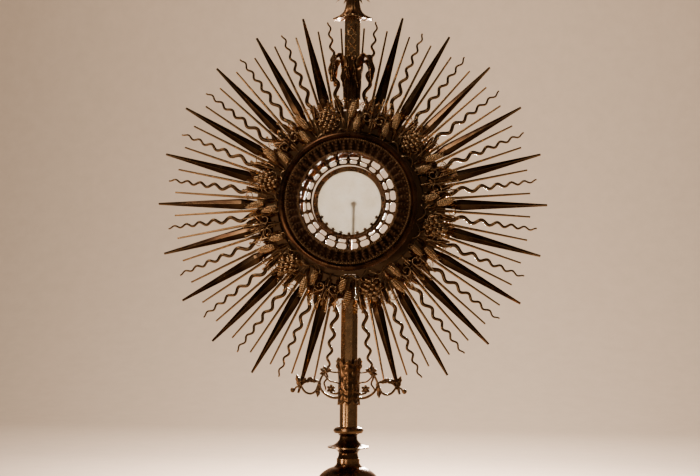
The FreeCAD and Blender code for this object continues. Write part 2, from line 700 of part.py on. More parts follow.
# ---------------------------------------------------------------- lunette
def build_lunette():
    seat = facing()
    face = s.lunette_front
    view, outer, pane = s.lunette_view, s.lunette_outer, s.lunette_pane
    node(turned("lunette_ring", [
        (view, face), (outer - 1, face), (outer, face + 1, 1, 1), (outer, face + 8), (pane + 0.2, face + 8),
        (pane + 0.2, face + 1.6), (view, face + 1.6),
    ], seat), "lunette_ring")
    for label, radius, front, back in (
            ("lunette_front_glass", pane, face + 1.8, face + 3.3),
            ("host", s.host_radius, face + 3.5, face + 3.5 + s.host_thick),
            ("lunette_rear_glass", pane, face + 4.3, face + 5.8)):
        node(turned(label, ring(0, radius, front, back), seat), label)
    node(turned("lunette_rear_ring", [
        (view, face + 6), (pane, face + 6), (pane, face + 8.1), (outer, face + 8.1), (outer, face + 10),
        (view, face + 10),
    ], seat), "lunette_rear_ring")
    build_crescent()
    build_slide()


def build_crescent():
    """A crescent along the lower half whose crest of points stands over the host's edge."""
    outer, inner, tip = s.lunette_outer.value - 0.3, s.crest_inner.value, s.crest_tip.value
    first, last, pitch = 202.5, 337.5, 15.0

    def at(radius, angle):
        return radial(angle, radius).Base

    arc = Part.Arc(at(outer, first), at(outer, 270), at(outer, last)).toShape()
    points = [at(outer, last)]
    angle = last
    while angle > first + 1e-6:
        points += [at(inner, angle), at(inner, angle - pitch * 0.3), at(tip, angle - pitch / 2),
                   at(inner, angle - pitch * 0.7)]
        angle -= pitch
    points += [at(inner, first), at(outer, first)]
    band = Part.Face(Part.Wire([arc, *Part.makePolygon(points).Edges]))
    plate = band.extrude(Vector(0, -1.2, 0))
    plate.translate(Vector(0, depth_y(s.lunette_front).value - 0.05, 0))
    group("lunette_crescent", [plate])


def build_slide():
    """The lunette's foot and the T-slot rail that it slides in."""
    high = s.centre_height
    face = s.lunette_front
    neck = block("slider_neck", (-2.5, depth_y(face + 2), high - s.slider_top - 0.5),
                 (2.5, depth_y(face + 8), high - s.lunette_outer + 4))
    tongue = block("slider_tongue", (-s.slider_half, depth_y(face - 2), high - s.slider_base),
                   (s.slider_half, depth_y(face + 10), high - s.slider_top))
    round_seat = made("Part::Cylinder", "slider_seat", Radius=s.lunette_outer, Height=30)
    round_seat.Placement = facing(face.value - 6)
    node(cut("lunette_slider", fused("slider_whole", neck, tongue), round_seat), "lunette_slider")
    gap = s.slot_gap
    rail = block("rail_bar", (-11, depth_y(s.rail_front), high - s.drum_inner - 1),
                 (11, depth_y(s.rail_back), high - s.slider_top + 2))
    slot = block("rail_slot", (-s.slider_half - gap, depth_y(s.rail_front) + 2, high - s.slider_base - gap),
                 (s.slider_half + gap, depth_y(s.rail_back) + 1, high - s.slider_top + gap))
    throat = block("rail_throat", (-2.8, depth_y(s.rail_front) + 2, high - s.slider_top),
                   (2.8, depth_y(s.rail_back) + 1, high - s.slider_top + 3))
    bar = doc.addObject("Part::Common", "rail_trim")
    bore = made("Part::Cylinder", "rail_bore", Radius=s.drum_inner, Height=80)
    bore.Placement = facing()
    bar.Base, bar.Tool = rail, bore
    node(cut("lunette_rail", bar, slot, throat), "lunette_rail")
    back = depth_y(face + 10)
    middle = s.handle_offset
    strip = block("handle_strip", (middle - s.handle_half, back, high - s.lunette_view - 3),
                  (middle + s.handle_half, back + 1.4, high + 1))
    grip = along_depth("handle_grip", middle, high - 1, face + 10, face + 13, as_size(3))
    node(fused("lunette_handle", strip, grip), "lunette_handle")


# ---------------------------------------------------------------- door, hinge and latch
def build_door():
    seat = facing()
    front, back, outer = s.door_front, s.door_back, s.door_outer
    node(turned("door_frame", [
        (s.door_pane + 0.2, front), (outer, front), (outer, back - 1.5), (outer - 1.5, back, 1.5, 1),
        (s.door_view + 1, back), (s.door_view, back - 1), (s.door_view, back - 1.8),
        (s.door_pane + 0.2, back - 1.8),
    ], seat), "door_frame")
    node(turned("door_glass", ring(0, s.door_pane, front + 0.2, back - 2), seat), "door_glass")
    angle = math.radians(25)
    spot = Vector(62 * math.cos(angle), depth_y(back).value, s.centre_height.value + 62 * math.sin(angle))
    node(turned("door_knob", [
        (0, 0), (2.6, 0), (1.5, 2), (1.5, 4), (3.6, 6.5, 3.4, -1), (2.4, 9.4, 3, 1), (0, 10),
    ], Placement(spot, Rotation(Vector(1, 0, 0), -90))), "door_knob")
    build_hinge()
    build_latch()


def knuckle(name, low, high, radius):
    item = made("Part::Cylinder", name, Radius=radius, Height=high - low)
    for axis, size in (("x", -s.hinge_offset), ("y", depth_y(s.hinge_depth)), ("z", s.centre_height + low)):
        item.setExpression(f".Placement.Base.{axis}", size.text)
    return item


def build_hinge():
    half, long_half = s.knuckle_half, s.hinge_half
    back = s.door_back
    bore = s.pin_radius + s.pin_gap
    high = s.centre_height
    strap = block("door_strap", (-s.hinge_offset, depth_y(back), high - half),
                  (-s.door_view - 2, depth_y(back) + 0.8, high + half))
    leaf = fused("door_leaf", strap, knuckle("door_knuckle", -half, half, s.knuckle_radius))
    node(cut("door_hinge_leaf", leaf, knuckle("door_bore", -half, half, bore)), "door_hinge_leaf")
    gap = half + 0.3
    web = block("case_web", (-s.hinge_offset - 3, depth_y(s.hinge_depth) - 11, high - long_half),
                (-s.drum_outer + 2, depth_y(s.hinge_depth) - 2.6, high + long_half))
    relief = block("case_relief", (-s.hinge_offset - 5, depth_y(s.hinge_depth) - 3.6, high - gap),
                   (-s.drum_outer + 4, depth_y(s.hinge_depth) + 5, high + gap))
    drum = made("Part::Cylinder", "case_seat", Radius=s.drum_outer, Height=40)
    drum.Placement = facing(40)
    ends = [knuckle("case_knuckle_low", -long_half, -gap, s.knuckle_radius),
            knuckle("case_knuckle_high", gap, long_half, s.knuckle_radius)]
    case = fused("case_leaf", cut("case_trim", web, relief, drum), *ends)
    node(cut("case_hinge_leaf", case, knuckle("case_bore", -long_half, long_half, bore)),
         "case_hinge_leaf")
    pin = fused("hinge_pin", knuckle("pin_shank", -long_half - 1, long_half + 1, s.pin_radius),
                knuckle("pin_foot", -long_half - 2.2, -long_half - 0.2, s.pin_radius * 1.8),
                knuckle("pin_head", long_half + 0.2, long_half + 2.2, s.pin_radius * 1.8))
    node(pin, "hinge_pin")


def along_depth(name, x, z, front, back, radius):
    item = made("Part::Cylinder", name, Radius=radius, Height=back - front)
    item.Placement = Placement(Vector(x.value, depth_y(front).value, z.value), Rotation(Vector(1, 0, 0), -90))
    return item


def build_latch():
    x, high, back = s.latch_offset, s.centre_height, s.door_back
    lug = block("latch_lug", (s.drum_outer - 2, depth_y(back) - 13, high - 5),
                (x + 4, depth_y(back) - 4.4, high + 5))
    drum = made("Part::Cylinder", "latch_seat", Radius=s.drum_outer, Height=40)
    drum.Placement = facing(40)
    post = along_depth("latch_post", x, high, back - 6, back + 0.8, as_size(2.6))
    hole = along_depth("latch_hole", x, high, back - 9, back + 2, as_size(1.55))
    bracket = cut("latch_bracket", fused("latch_block", cut("latch_trim", lug, drum), post), hole)
    node(bracket, "latch_bracket")
    hub = along_depth("lever_hub", x, high, back + 1, back + 3, as_size(4))
    arm = block("lever_arm", (x - 2.6, depth_y(back) + 1, high - s.latch_length),
                (x + 2.6, depth_y(back) + 3, high))
    end = along_depth("lever_end", x, high - s.latch_length, back + 1, back + 3, as_size(2.6))
    eye = along_depth("lever_eye", x, high, back, back + 4, as_size(1.55))
    node(cut("latch_lever", fused("lever_whole", hub, arm, end), eye), "latch_lever")
    shank = along_depth("screw_shank", x, high, back - 8, back + 4, as_size(1.5))
    head = along_depth("screw_head", x, high, back + 3.2, back + 5.2, as_size(3.2))
    node(fused("latch_screw", shank, head), "latch_screw")


# ---------------------------------------------------------------- column, canopy and cross
def build_crown():
    top = s.column_top
    foot = s.centre_height + s.stem_top_gap
    node(shaft("top_column", s.column_radius, foot, top, s.centre_height + s.flange_outer + 0.4,
               (top - 16, 16, s.stud_radius + 0.1)), "top_column")
    bore = s.stud_radius + 0.1
    wide = s.canopy_radius
    canopy = turned("canopy", [
        (bore, top), (9.6, top), (9.6, top + 1), (wide, top + 1.6), (wide, top + 2.8),
        (10.6, top + 10.5, 26, -1), (7, s.canopy_top, 30, -1), (bore, s.canopy_top),
    ])
    node(canopy, "canopy")
    knob = turned("finial_knob", [
        (bore, s.canopy_top), (7.2, s.canopy_top), (8.6, s.canopy_top + 3.5, 3, 1),
        (6.4, s.knob_top, 4, 1), (bore, s.knob_top),
    ])
    node(knob, "finial_knob")
    build_palmette()
    cross = build_cross()
    doc.recompute()
    build_glory([canopy.Shape, knob.Shape, cross.Shape])


def build_palmette():
    """A spray of leaves in front of the column's foot; the sides turn outwards at the top."""
    foot = s.centre_height + 114
    points = [(-8, 0), (8, 0), (13, 12), (22, 24), (22, 38), (14, 47), (9, 41), (0, 49), (-9, 41),
              (-14, 47), (-22, 38), (-22, 24), (-13, 12)]
    body = padded("column_palmette", points, 4,
                  Placement(Vector(0, -s.column_radius.value - 0.2, foot.value),
                            Rotation(Vector(1, 0, 0), 90)))
    node(body, "column_palmette")


def build_cross():
    """A flat cross whose three free ends are trefoils, on a stud through the knob and canopy."""
    middle, bar, thick, lobe = (s.cross_centre.value, s.cross_bar.value, s.cross_thick.value,
                                s.trefoil_radius.value)
    half, rise, foot = s.cross_half.value, s.cross_rise.value, s.knob_top.value
    faces = []
    for x, low, high in ((bar, foot, middle + rise), (half, middle - bar, middle + bar)):
        corners = [(-x, low), (x, low), (x, high), (-x, high), (-x, low)]
        faces.append(Part.Face(Part.makePolygon([Vector(cx, thick / 2, cz) for cx, cz in corners])))
    for dx, dz, reach in ((0, 1, rise), (-1, 0, half), (1, 0, half)):
        for along, across in ((0.9, 0), (-0.3, 0.9), (-0.3, -0.9)):
            x = dx * (reach + along * lobe) + dz * across * lobe
            z = middle + dz * (reach + along * lobe) + dx * across * lobe
            circle = Part.makeCircle(lobe, Vector(x, thick / 2, z), Vector(0, -1, 0))
            faces.append(Part.Face(Part.Wire(circle)))
    plate = faces[0].multiFuse(faces[1:]).removeSplitter().extrude(Vector(0, -thick, 0))
    stud_foot = s.column_top.value - 15
    stud = Part.makeCylinder(s.stud_radius.value, foot - stud_foot, Vector(0, 0, stud_foot))
    return group("cross", plate.fuse(stud).Solids)


def build_glory(neighbours):
    """A thin star behind the cross, three pointed rays between each two arms, trimmed where the
    neighbours stand."""
    corners = []
    for arm_gap in (45, 135, 225, 315):
        for step, share in ((-30, 0.2), (-18, 0.8), (-9, 0.3), (0, 1), (9, 0.3), (18, 0.8), (30, 0.2)):
            radius = s.glory_inner.value + (s.glory_outer.value - s.glory_inner.value) * share
            angle = math.radians(arm_gap + step)
            corners.append(Vector(radius * math.cos(angle), 0, radius * math.sin(angle)))
    star = Part.Face(Part.makePolygon(corners + [corners[0]])).extrude(Vector(0, 1.2, 0))
    star.translate(Vector(0, s.cross_thick.value / 2, s.cross_centre.value))
    for neighbour in neighbours:
        star = star.cut(neighbour)
    group("cross_glory", star.Solids)


# ---------------------------------------------------------------- checks and export
def check_and_write():
    doc.recompute()
    for item in doc.Objects:
        if "Invalid" in item.State or "Error" in item.State:
            raise RuntimeError(f"{item.Label} failed to build: {item.State}")
    os.makedirs("parts", exist_ok=True)
    for stale in os.listdir("parts"):
        os.remove(os.path.join("parts", stale))
    for item in nodes:
        shape = item.Shape
        if shape.isNull() or not shape.isValid() or not shape.Solids:
            raise RuntimeError(f"{item.Label} is not a valid solid")
        shape.exportStep(os.path.join("parts", item.Label + ".step"))
        print(f"{item.Label:22s} solids {len(shape.Solids):3d}  volume {shape.Volume / 1000:9.2f} cm3")
    print(len(nodes), "nodes")


build_foot()
build_stem()
build_tie_rod()
build_rays()
build_wreath()
build_case()
build_lunette()
build_door()
build_crown()
check_and_write()
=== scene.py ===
"""Looks of the sunburst monstrance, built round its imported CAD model.

Metres, +Z up, front facing -Y.  The turned and cut pieces keep their CAD shape and get their finish here;
cast and chased ornament (leaves, wheat, grapes, tendrils, beads, scrolls, cross) is modelled here.
"""
import json
import math
import random

import bmesh
import bpy
from mathutils import Matrix, Vector


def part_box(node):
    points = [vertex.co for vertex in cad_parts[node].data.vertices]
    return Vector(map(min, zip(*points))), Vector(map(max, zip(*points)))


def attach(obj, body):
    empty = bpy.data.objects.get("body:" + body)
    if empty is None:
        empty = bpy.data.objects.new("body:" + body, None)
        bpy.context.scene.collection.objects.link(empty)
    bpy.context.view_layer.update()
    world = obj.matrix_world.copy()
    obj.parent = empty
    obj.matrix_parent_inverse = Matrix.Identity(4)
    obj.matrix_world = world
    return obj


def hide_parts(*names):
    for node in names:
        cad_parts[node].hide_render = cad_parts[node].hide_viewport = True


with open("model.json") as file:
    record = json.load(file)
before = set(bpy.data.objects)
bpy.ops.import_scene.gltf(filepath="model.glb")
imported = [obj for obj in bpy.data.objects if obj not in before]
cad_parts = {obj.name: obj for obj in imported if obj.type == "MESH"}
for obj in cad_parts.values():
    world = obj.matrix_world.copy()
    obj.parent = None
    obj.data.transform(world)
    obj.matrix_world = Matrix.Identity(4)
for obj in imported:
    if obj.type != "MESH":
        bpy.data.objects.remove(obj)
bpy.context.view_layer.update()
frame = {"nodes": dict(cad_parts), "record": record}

NODES = frame["nodes"]
MM = 0.001
TAU = 2 * math.pi


# ---------------------------------------------------------------- places read from the frame
def middle_of(node):
    low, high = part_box(node)
    return (low + high) / 2


CENTRE = Vector((0, 0, middle_of("ray_plate").z))
PLATE_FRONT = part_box("ray_plate")[0].y
BEZEL_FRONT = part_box("bezel")[0].y
RING_LIFT = -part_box("wreath_ring")[0].y


# ---------------------------------------------------------------- camera
def look(position, target, roll):
    """A camera at position that looks at target, rolled by degrees."""
    data = bpy.data.cameras.new("camera")
    camera = bpy.data.objects.new("camera", data)
    bpy.context.scene.collection.objects.link(camera)
    camera.location = position
    turn = (Vector(target) - Vector(position)).to_track_quat("-Z", "Y").to_matrix()
    camera.matrix_world = Matrix.Translation(position) @ turn.to_4x4() @ Matrix.Rotation(roll, 4, "Z")
    bpy.context.scene.camera = camera
    return camera


VIEW_DISTANCE = 1.45
VIEW_BELOW = math.radians(5.0)
VIEW_LEFT = math.radians(-4.5)
VIEW_ROLL = math.radians(0.6)
VIEW_SPAN = 0.762
VIEW_AIM = Vector((-0.0005, 0, -0.0365))

back_off = Vector((-math.sin(VIEW_LEFT) * math.cos(VIEW_BELOW), -math.cos(VIEW_LEFT) * math.cos(VIEW_BELOW),
                   -math.sin(VIEW_BELOW)))
camera = look(CENTRE + back_off * VIEW_DISTANCE, CENTRE + VIEW_AIM, VIEW_ROLL)
camera.data.sensor_width = 36
camera.data.lens = 36 * VIEW_DISTANCE / VIEW_SPAN


# ---------------------------------------------------------------- materials
class Nodes:
    """A small builder for node materials."""

    def __init__(self, name):
        self.material = bpy.data.materials.new(name)
        self.material.use_nodes = True
        self.tree = self.material.node_tree
        self.shader = self.tree.nodes["Principled BSDF"]
        self.output = self.tree.nodes["Material Output"]

    def add(self, kind, **settings):
        made = self.tree.nodes.new(kind)
        for key, value in settings.items():
            setattr(made, key, value)
        return made

    def link(self, source, target):
        self.tree.links.new(source, target)

    def place(self, scale=(1, 1, 1)):
        coords = self.add("ShaderNodeTexCoord")
        mapping = self.add("ShaderNodeMapping")
        mapping.inputs["Scale"].default_value = scale
        self.link(coords.outputs["Object"], mapping.inputs["Vector"])
        return mapping.outputs["Vector"]

    def noise(self, scale, detail=4.0, rough=0.55, distortion=0.0, stretch=(1, 1, 1)):
        made = self.add("ShaderNodeTexNoise")
        made.inputs["Scale"].default_value = scale
        made.inputs["Detail"].default_value = detail
        made.inputs["Roughness"].default_value = rough
        made.inputs["Distortion"].default_value = distortion
        self.link(self.place(stretch), made.inputs["Vector"])
        return made.outputs["Fac"]

    def ramp(self, source, stops):
        made = self.add("ShaderNodeValToRGB")
        elements = made.color_ramp.elements
        for element, (at, colour) in zip(elements, (stops[0], stops[-1])):
            element.position, element.color = at, tuple(colour) + (1,)
        for at, colour in stops[1:-1]:
            elements.new(at).color = tuple(colour) + (1,)
        self.link(source, made.inputs["Fac"])
        return made.outputs["Color"]

    def span(self, source, low, high, start=0.0, end=1.0):
        made = self.add("ShaderNodeMapRange")
        made.inputs["From Min"].default_value = start
        made.inputs["From Max"].default_value = end
        made.inputs["To Min"].default_value = low
        made.inputs["To Max"].default_value = high
        self.link(source, made.inputs["Value"])
        return made.outputs["Result"]

    def mix(self, share, first, second, blend="MIX"):
        made = self.add("ShaderNodeMix", data_type="RGBA", blend_type=blend)
        for source, name in ((share, 0), (first, 6), (second, 7)):
            if isinstance(source, (int, float)):
                made.inputs[name].default_value = source
            elif isinstance(source, tuple):
                made.inputs[name].default_value = source + (1,)
            else:
                self.link(source, made.inputs[name])
        return made.outputs[2]

    def math(self, operation, first, second):
        made = self.add("ShaderNodeMath", operation=operation)
        for source, socket in ((first, made.inputs[0]), (second, made.inputs[1])):
            if isinstance(source, (int, float)):
                socket.default_value = source
            else:
                self.link(source, socket)
        return made.outputs[0]

    def bump(self, height, distance, strength=1.0, onto=None):
        made = self.add("ShaderNodeBump")
        made.inputs["Strength"].default_value = strength
        made.inputs["Distance"].default_value = distance
        self.link(height, made.inputs["Height"])
        if onto is not None:
            self.link(onto, made.inputs["Normal"])
        return made.outputs["Normal"]


def gilt(name, dark, body, bright, rubbed_and_highlight_colour, rough=(0.2, 0.42), grain=900.0, dent=0.00012, edge_rub_and_highlight=0.6,
         hollow_darkening=0.5):
    """Old gilt brass: sharp edges brighter, partly rubbed gilding and partly a painted highlight; darker in
    the hollows; fine handling marks.
    """
    m = Nodes(name)
    cloud = m.noise(55, 5, 0.6, 0.4)
    speck = m.noise(420, 3, 0.6)
    colour = m.ramp(cloud, [(0.28, dark), (0.5, body), (0.75, bright)])
    colour = m.mix(m.span(speck, 0.0, 0.35, 0.55, 0.75), colour, dark)
    geometry = m.add("ShaderNodeNewGeometry")
    # sharp edges take the bright colour: partly rubbed gilding, partly a painted highlight
    edges = m.span(geometry.outputs["Pointiness"], 0.0, edge_rub_and_highlight, 0.515, 0.60)
    # the hollows are made darker and rougher
    hollows = m.span(geometry.outputs["Pointiness"], hollow_darkening, 0.0, 0.40, 0.49)
    colour = m.mix(edges, colour, rubbed_and_highlight_colour)
    colour = m.mix(hollows, colour, tuple(0.3 * c for c in dark))
    m.link(colour, m.shader.inputs["Base Color"])
    m.shader.inputs["Metallic"].default_value = 1.0
    marks = m.math("ADD", m.math("MULTIPLY", cloud, 0.7), m.math("MULTIPLY", speck, 0.3))
    gloss = m.span(marks, rough[0], rough[1], 0.35, 0.65)
    m.link(m.math("ADD", gloss, m.math("MULTIPLY", hollows, 0.25)), m.shader.inputs["Roughness"])
    fine = m.noise(grain, 3, 0.6)
    soft = m.noise(130, 3, 0.5)
    lifted = m.bump(soft, dent, 0.6)
    m.link(m.bump(fine, dent * 0.25, 0.5, lifted), m.shader.inputs["Normal"])
    return m.material


DARK = (0.030, 0.012, 0.006)
GOLD = (0.720, 0.430, 0.210)

ray_metal = gilt("ray_metal", DARK, (0.060, 0.028, 0.014), (0.13, 0.064, 0.031), GOLD, (0.14, 0.30),
                 edge_rub_and_highlight=0.7)
wreath_metal = gilt("wreath_metal", DARK, (0.15, 0.068, 0.030), (0.36, 0.185, 0.085), (0.92, 0.60, 0.32),
                    (0.14, 0.32), edge_rub_and_highlight=0.9, hollow_darkening=0.95)
# a darker copy of the gilt for the plain grounds behind the ornament: painted shade
ground_metal_painted_shade = gilt("ground_metal_painted_shade", DARK, (0.065, 0.029, 0.014), (0.13, 0.062, 0.030), GOLD, (0.30, 0.5),
                    edge_rub_and_highlight=0.3, hollow_darkening=0.9)
case_metal = gilt("case_metal", DARK, (0.13, 0.056, 0.027), (0.24, 0.108, 0.050), GOLD, (0.20, 0.36))
# a darker copy of the case metal for the bezel's leaf band: painted shade
relief_metal_painted_shade = gilt("relief_metal_painted_shade", DARK, (0.050, 0.023, 0.012), (0.11, 0.052, 0.026), GOLD, (0.26, 0.44),
                    edge_rub_and_highlight=0.3, hollow_darkening=0.95)
stem_metal = gilt("stem_metal", DARK, (0.19, 0.088, 0.039), (0.36, 0.185, 0.083), GOLD, (0.18, 0.34))
foot_metal = gilt("foot_metal", DARK, (0.20, 0.092, 0.041), (0.36, 0.185, 0.083), GOLD, (0.18, 0.33))
lunette_metal = gilt("lunette_metal", DARK, (0.22, 0.105, 0.048), (0.42, 0.220, 0.100), (0.9, 0.60, 0.32),
                     (0.2, 0.36))


def steel():
    m = Nodes("steel_metal")
    cloud = m.noise(160, 4, 0.6)
    colour = m.ramp(cloud, [(0.3, (0.20, 0.19, 0.18)), (0.55, (0.42, 0.41, 0.39)), (0.8, (0.55, 0.54, 0.52))])
    m.link(colour, m.shader.inputs["Base Color"])
    m.shader.inputs["Metallic"].default_value = 1.0
    m.link(m.span(cloud, 0.25, 0.5), m.shader.inputs["Roughness"])
    m.link(m.bump(m.noise(900, 2, 0.5), 0.00004, 0.6), m.shader.inputs["Normal"])
    return m.material


def felt():
    m = Nodes("felt_cloth")
    fibres = m.noise(1400, 6, 0.8, 1.2)
    patches = m.noise(60, 3, 0.6)
    tufts = m.ramp(fibres, [(0.3, (0.05, 0.012, 0.012)), (0.55, (0.15, 0.035, 0.03)),
                            (0.8, (0.26, 0.08, 0.065))])
    colour = m.mix(m.span(patches, 0.0, 0.5), tufts, (0.08, 0.02, 0.018))
    m.link(colour, m.shader.inputs["Base Color"])
    m.link(m.span(patches, 0.85, 0.98), m.shader.inputs["Roughness"])
    m.shader.inputs["Sheen Weight"].default_value = 0.4
    m.link(m.bump(fibres, 0.0004, 0.9), m.shader.inputs["Normal"])
    return m.material


def wafer():
    """Thin white bread: faintly mottled, with a fine pressed grain, and light passes through it."""
    m = Nodes("wafer_bread")
    mottle = m.noise(70, 5, 0.6, 0.3)
    grain = m.noise(700, 4, 0.7)
    colour = m.ramp(mottle, [(0.3, (0.86, 0.80, 0.69)), (0.55, (0.93, 0.88, 0.79)),
                             (0.8, (0.97, 0.94, 0.87))])
    m.link(colour, m.shader.inputs["Base Color"])
    m.link(m.span(mottle, 0.7, 0.9), m.shader.inputs["Roughness"])
    relief = m.bump(grain, 0.0001, 0.5)
    m.link(relief, m.shader.inputs["Normal"])
    glow = m.add("ShaderNodeBsdfTranslucent")
    m.link(colour, glow.inputs["Color"])
    m.link(relief, glow.inputs["Normal"])
    both = m.add("ShaderNodeMixShader")
    both.inputs[0].default_value = 0.75
    m.link(m.shader.outputs[0], both.inputs[1])
    m.link(glow.outputs[0], both.inputs[2])
    m.link(both.outputs[0], m.output.inputs["Surface"])
    return m.material


def pane(name, tint):
    """Thin flat glass with faint dust; it lets light straight through and glints at low angles."""
    m = Nodes(name)
    dust = m.noise(240, 5, 0.7)
    haze = m.noise(14, 4, 0.6)
    m.shader.inputs["Base Color"].default_value = tint + (1,)
    m.link(m.span(m.math("MULTIPLY", dust, haze), 0.02, 0.16, 0.15, 0.5), m.shader.inputs["Roughness"])
    m.shader.inputs["IOR"].default_value = 1.45
    clear = m.add("ShaderNodeBsdfTransparent")
    gloss = m.add("ShaderNodeLayerWeight")
    gloss.inputs["Blend"].default_value = 0.12
    glint = m.math("MULTIPLY", gloss.outputs["Fresnel"], 0.55)
    share = m.math("ADD", glint, m.span(dust, 0.0, 0.025, 0.5, 0.8))
    both = m.add("ShaderNodeMixShader")
    m.link(share, both.inputs[0])
    m.link(clear.outputs[0], both.inputs[1])
    m.link(m.shader.outputs[0], both.inputs[2])
    m.link(both.outputs[0], m.output.inputs["Surface"])
    m.material.blend_method = "HASHED"
    return m.material


steel_metal = steel()
felt_cloth = felt()
wafer_bread = wafer()
pane_glass = pane("pane_glass", (0.92, 0.95, 0.93))

SLOT_MATERIAL = {
    "foot_brass": foot_metal, "stem_brass": stem_metal, "ray_brass": ray_metal, "wreath_brass": wreath_metal,
    "case_brass": case_metal, "lunette_gilt": lunette_metal, "clear_glass": pane_glass, "wafer": wafer_bread,
    "felt": felt_cloth, "steel": steel_metal,
}


def dress_nodes():
    """Gives every CAD node the finish of its slot; plain grounds behind ornament get a darker one, which is
    painted shade.
    """
    slots = {row["node"]: row["material_slot"] for row in frame["record"]["subparts"]}
    for name, item in NODES.items():
        item.data.materials.clear()
        item.data.materials.append(ground_metal_painted_shade if name in SHADE_PAINTED_GROUNDS else SLOT_MATERIAL[slots[name]])


# the plain grounds behind the ornament, which get the darker metal as painted shade
SHADE_PAINTED_GROUNDS = ("wreath_ring", "ray_plate", "case_drum")
dress_nodes()


# ---------------------------------------------------------------- mesh helpers
def finish_piece(name, mesh, material_slot, body, replaced=(), material=None):
    """Turns a bmesh into a piece with its finish, its body and the nodes that it stands for."""
    bmesh.ops.recalc_face_normals(mesh, faces=mesh.faces)
    data = bpy.data.meshes.new(name)
    mesh.to_mesh(data)
    mesh.free()
    piece = bpy.data.objects.new(name, data)
    bpy.context.scene.collection.objects.link(piece)
    data.materials.append(material or SLOT_MATERIAL[material_slot])
    data.shade_smooth()
    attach(piece, body)
    if replaced:
        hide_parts(*replaced)
    return piece


def radial(angle, reach=0.0, forward=0.0):
    """A frame on the sunburst: Z outwards at angle (degrees, from +X to +Z), Y rearwards."""
    a = math.radians(angle)
    out = Vector((math.cos(a), 0, math.sin(a)))
    across = Vector((math.sin(a), 0, -math.cos(a)))
    place = Matrix((across, Vector((0, 1, 0)), out)).transposed().to_4x4()
    place.translation = CENTRE + out * reach + Vector((0, -forward, 0))
    return place


def polar(radius, angle, height=0.0):
    return Vector((radius * math.cos(angle), radius * math.sin(angle), height))


def bridge(mesh, rows, closed=True):
    """Faces between each row of vertices and the next; closed joins the ends of the rows."""
    for first, second in zip(rows, rows[1:]):
        for k in range(len(first) - (0 if closed else 1)):
            following = (k + 1) % len(first)
            mesh.faces.new((first[k], first[following], second[following], second[k]))


def leaf_sheet(mesh, spot, thick, steps, across):
    """A closed leaf. spot(u, v, inside) is its point at u along (0 to 1), v across (-1 to 1), inside deep."""
    front, back = [[[mesh.verts.new(spot(i / steps, 2 * k / (across - 1) - 1, inside))
                     for k in range(across)] for i in range(steps + 1)] for inside in (0.0, thick)]
    for rows in (front, back):
        bridge(mesh, rows, closed=False)
    for k in (0, -1):
        bridge(mesh, [[row[k] for row in front], [row[k] for row in back]], closed=False)
        bridge(mesh, [front[k], back[k]], closed=False)


def tube(mesh, points, radii, sides=8):
    """Sweeps a round section along points; radii is one size or one for each point."""
    count = len(points)
    if isinstance(radii, (int, float)):
        radii = [radii] * count
    tangents = [(points[min(i + 1, count - 1)] - points[max(i - 1, 0)]).normalized() for i in range(count)]
    side = tangents[0].orthogonal().normalized()
    rings = []
    for point, tangent, radius in zip(points, tangents, radii):
        side = (side - tangent * side.dot(tangent)).normalized()
        other = tangent.cross(side)
        rings.append([mesh.verts.new(point + side * math.cos(TAU * k / sides) * radius
                                     + other * math.sin(TAU * k / sides) * radius)
                      for k in range(sides)])
    bridge(mesh, rings)
    mesh.faces.new(list(reversed(rings[0])))
    mesh.faces.new(rings[-1])


def curve_points(corners, count):
    """Points along a smooth curve through corners (Catmull-Rom)."""
    ends = [corners[0] * 2 - corners[1], *corners, corners[-1] * 2 - corners[-2]]
    points = []
    pieces = len(corners) - 1
    for i in range(count + 1):
        where = min(i / count * pieces, pieces - 1e-6)
        k = int(where)
        u = where - k
        p0, p1, p2, p3 = ends[k:k + 4]
        points.append(0.5 * (2 * p1 + (p2 - p0) * u + (2 * p0 - 5 * p1 + 4 * p2 - p3) * u ** 2
                             + (3 * p1 - p0 - 3 * p2 + p3) * u ** 3))
    return points


def ball(mesh, place, radius, segments, rings, stretch=(1, 1, 1)):
    """A sphere at a point or in a frame; stretch makes it an ellipsoid, its poles along the frame's Z."""
    if isinstance(place, Vector):
        place = Matrix.Translation(place)
    scale = place @ Matrix.Diagonal((*(radius * v for v in stretch), 1))
    rows = []
    for j in range(1, rings):
        tilt = math.pi * j / rings
        rows.append([mesh.verts.new(scale @ polar(math.sin(tilt), TAU * k / segments, math.cos(tilt)))
                     for k in range(segments)])
    poles = [mesh.verts.new(scale @ Vector((0, 0, z))) for z in (1, -1)]
    for k in range(segments):
        following = (k + 1) % segments
        mesh.faces.new((poles[0], rows[0][k], rows[0][following]))
        mesh.faces.new((poles[1], rows[-1][following], rows[-1][k]))
    bridge(mesh, rows)


def lathe(mesh, profile, segments, place=None, wave=None):
    """Revolves (radius, height) points about Z; wave(angle, i) may change the radius and height."""
    place = place or Matrix.Identity(4)
    rings = []
    for i, (radius, height) in enumerate(profile):
        row = []
        for k in range(segments):
            angle = TAU * k / segments
            r, h = (radius, height) if wave is None else wave(angle, i, radius, height)
            row.append(mesh.verts.new(place @ polar(r, angle, h)))
        rings.append(row)
    bridge(mesh, rings)
    return rings


def front_place(depth):
    """A frame on the case: X to the right, Y up and Z towards the viewer, depth behind the bezel's front."""
    place = Matrix((Vector((1, 0, 0)), Vector((0, 0, 1)), Vector((0, -1, 0)))).transposed().to_4x4()
    place.translation = CENTRE + Vector((0, BEZEL_FRONT + depth, 0))
    return place


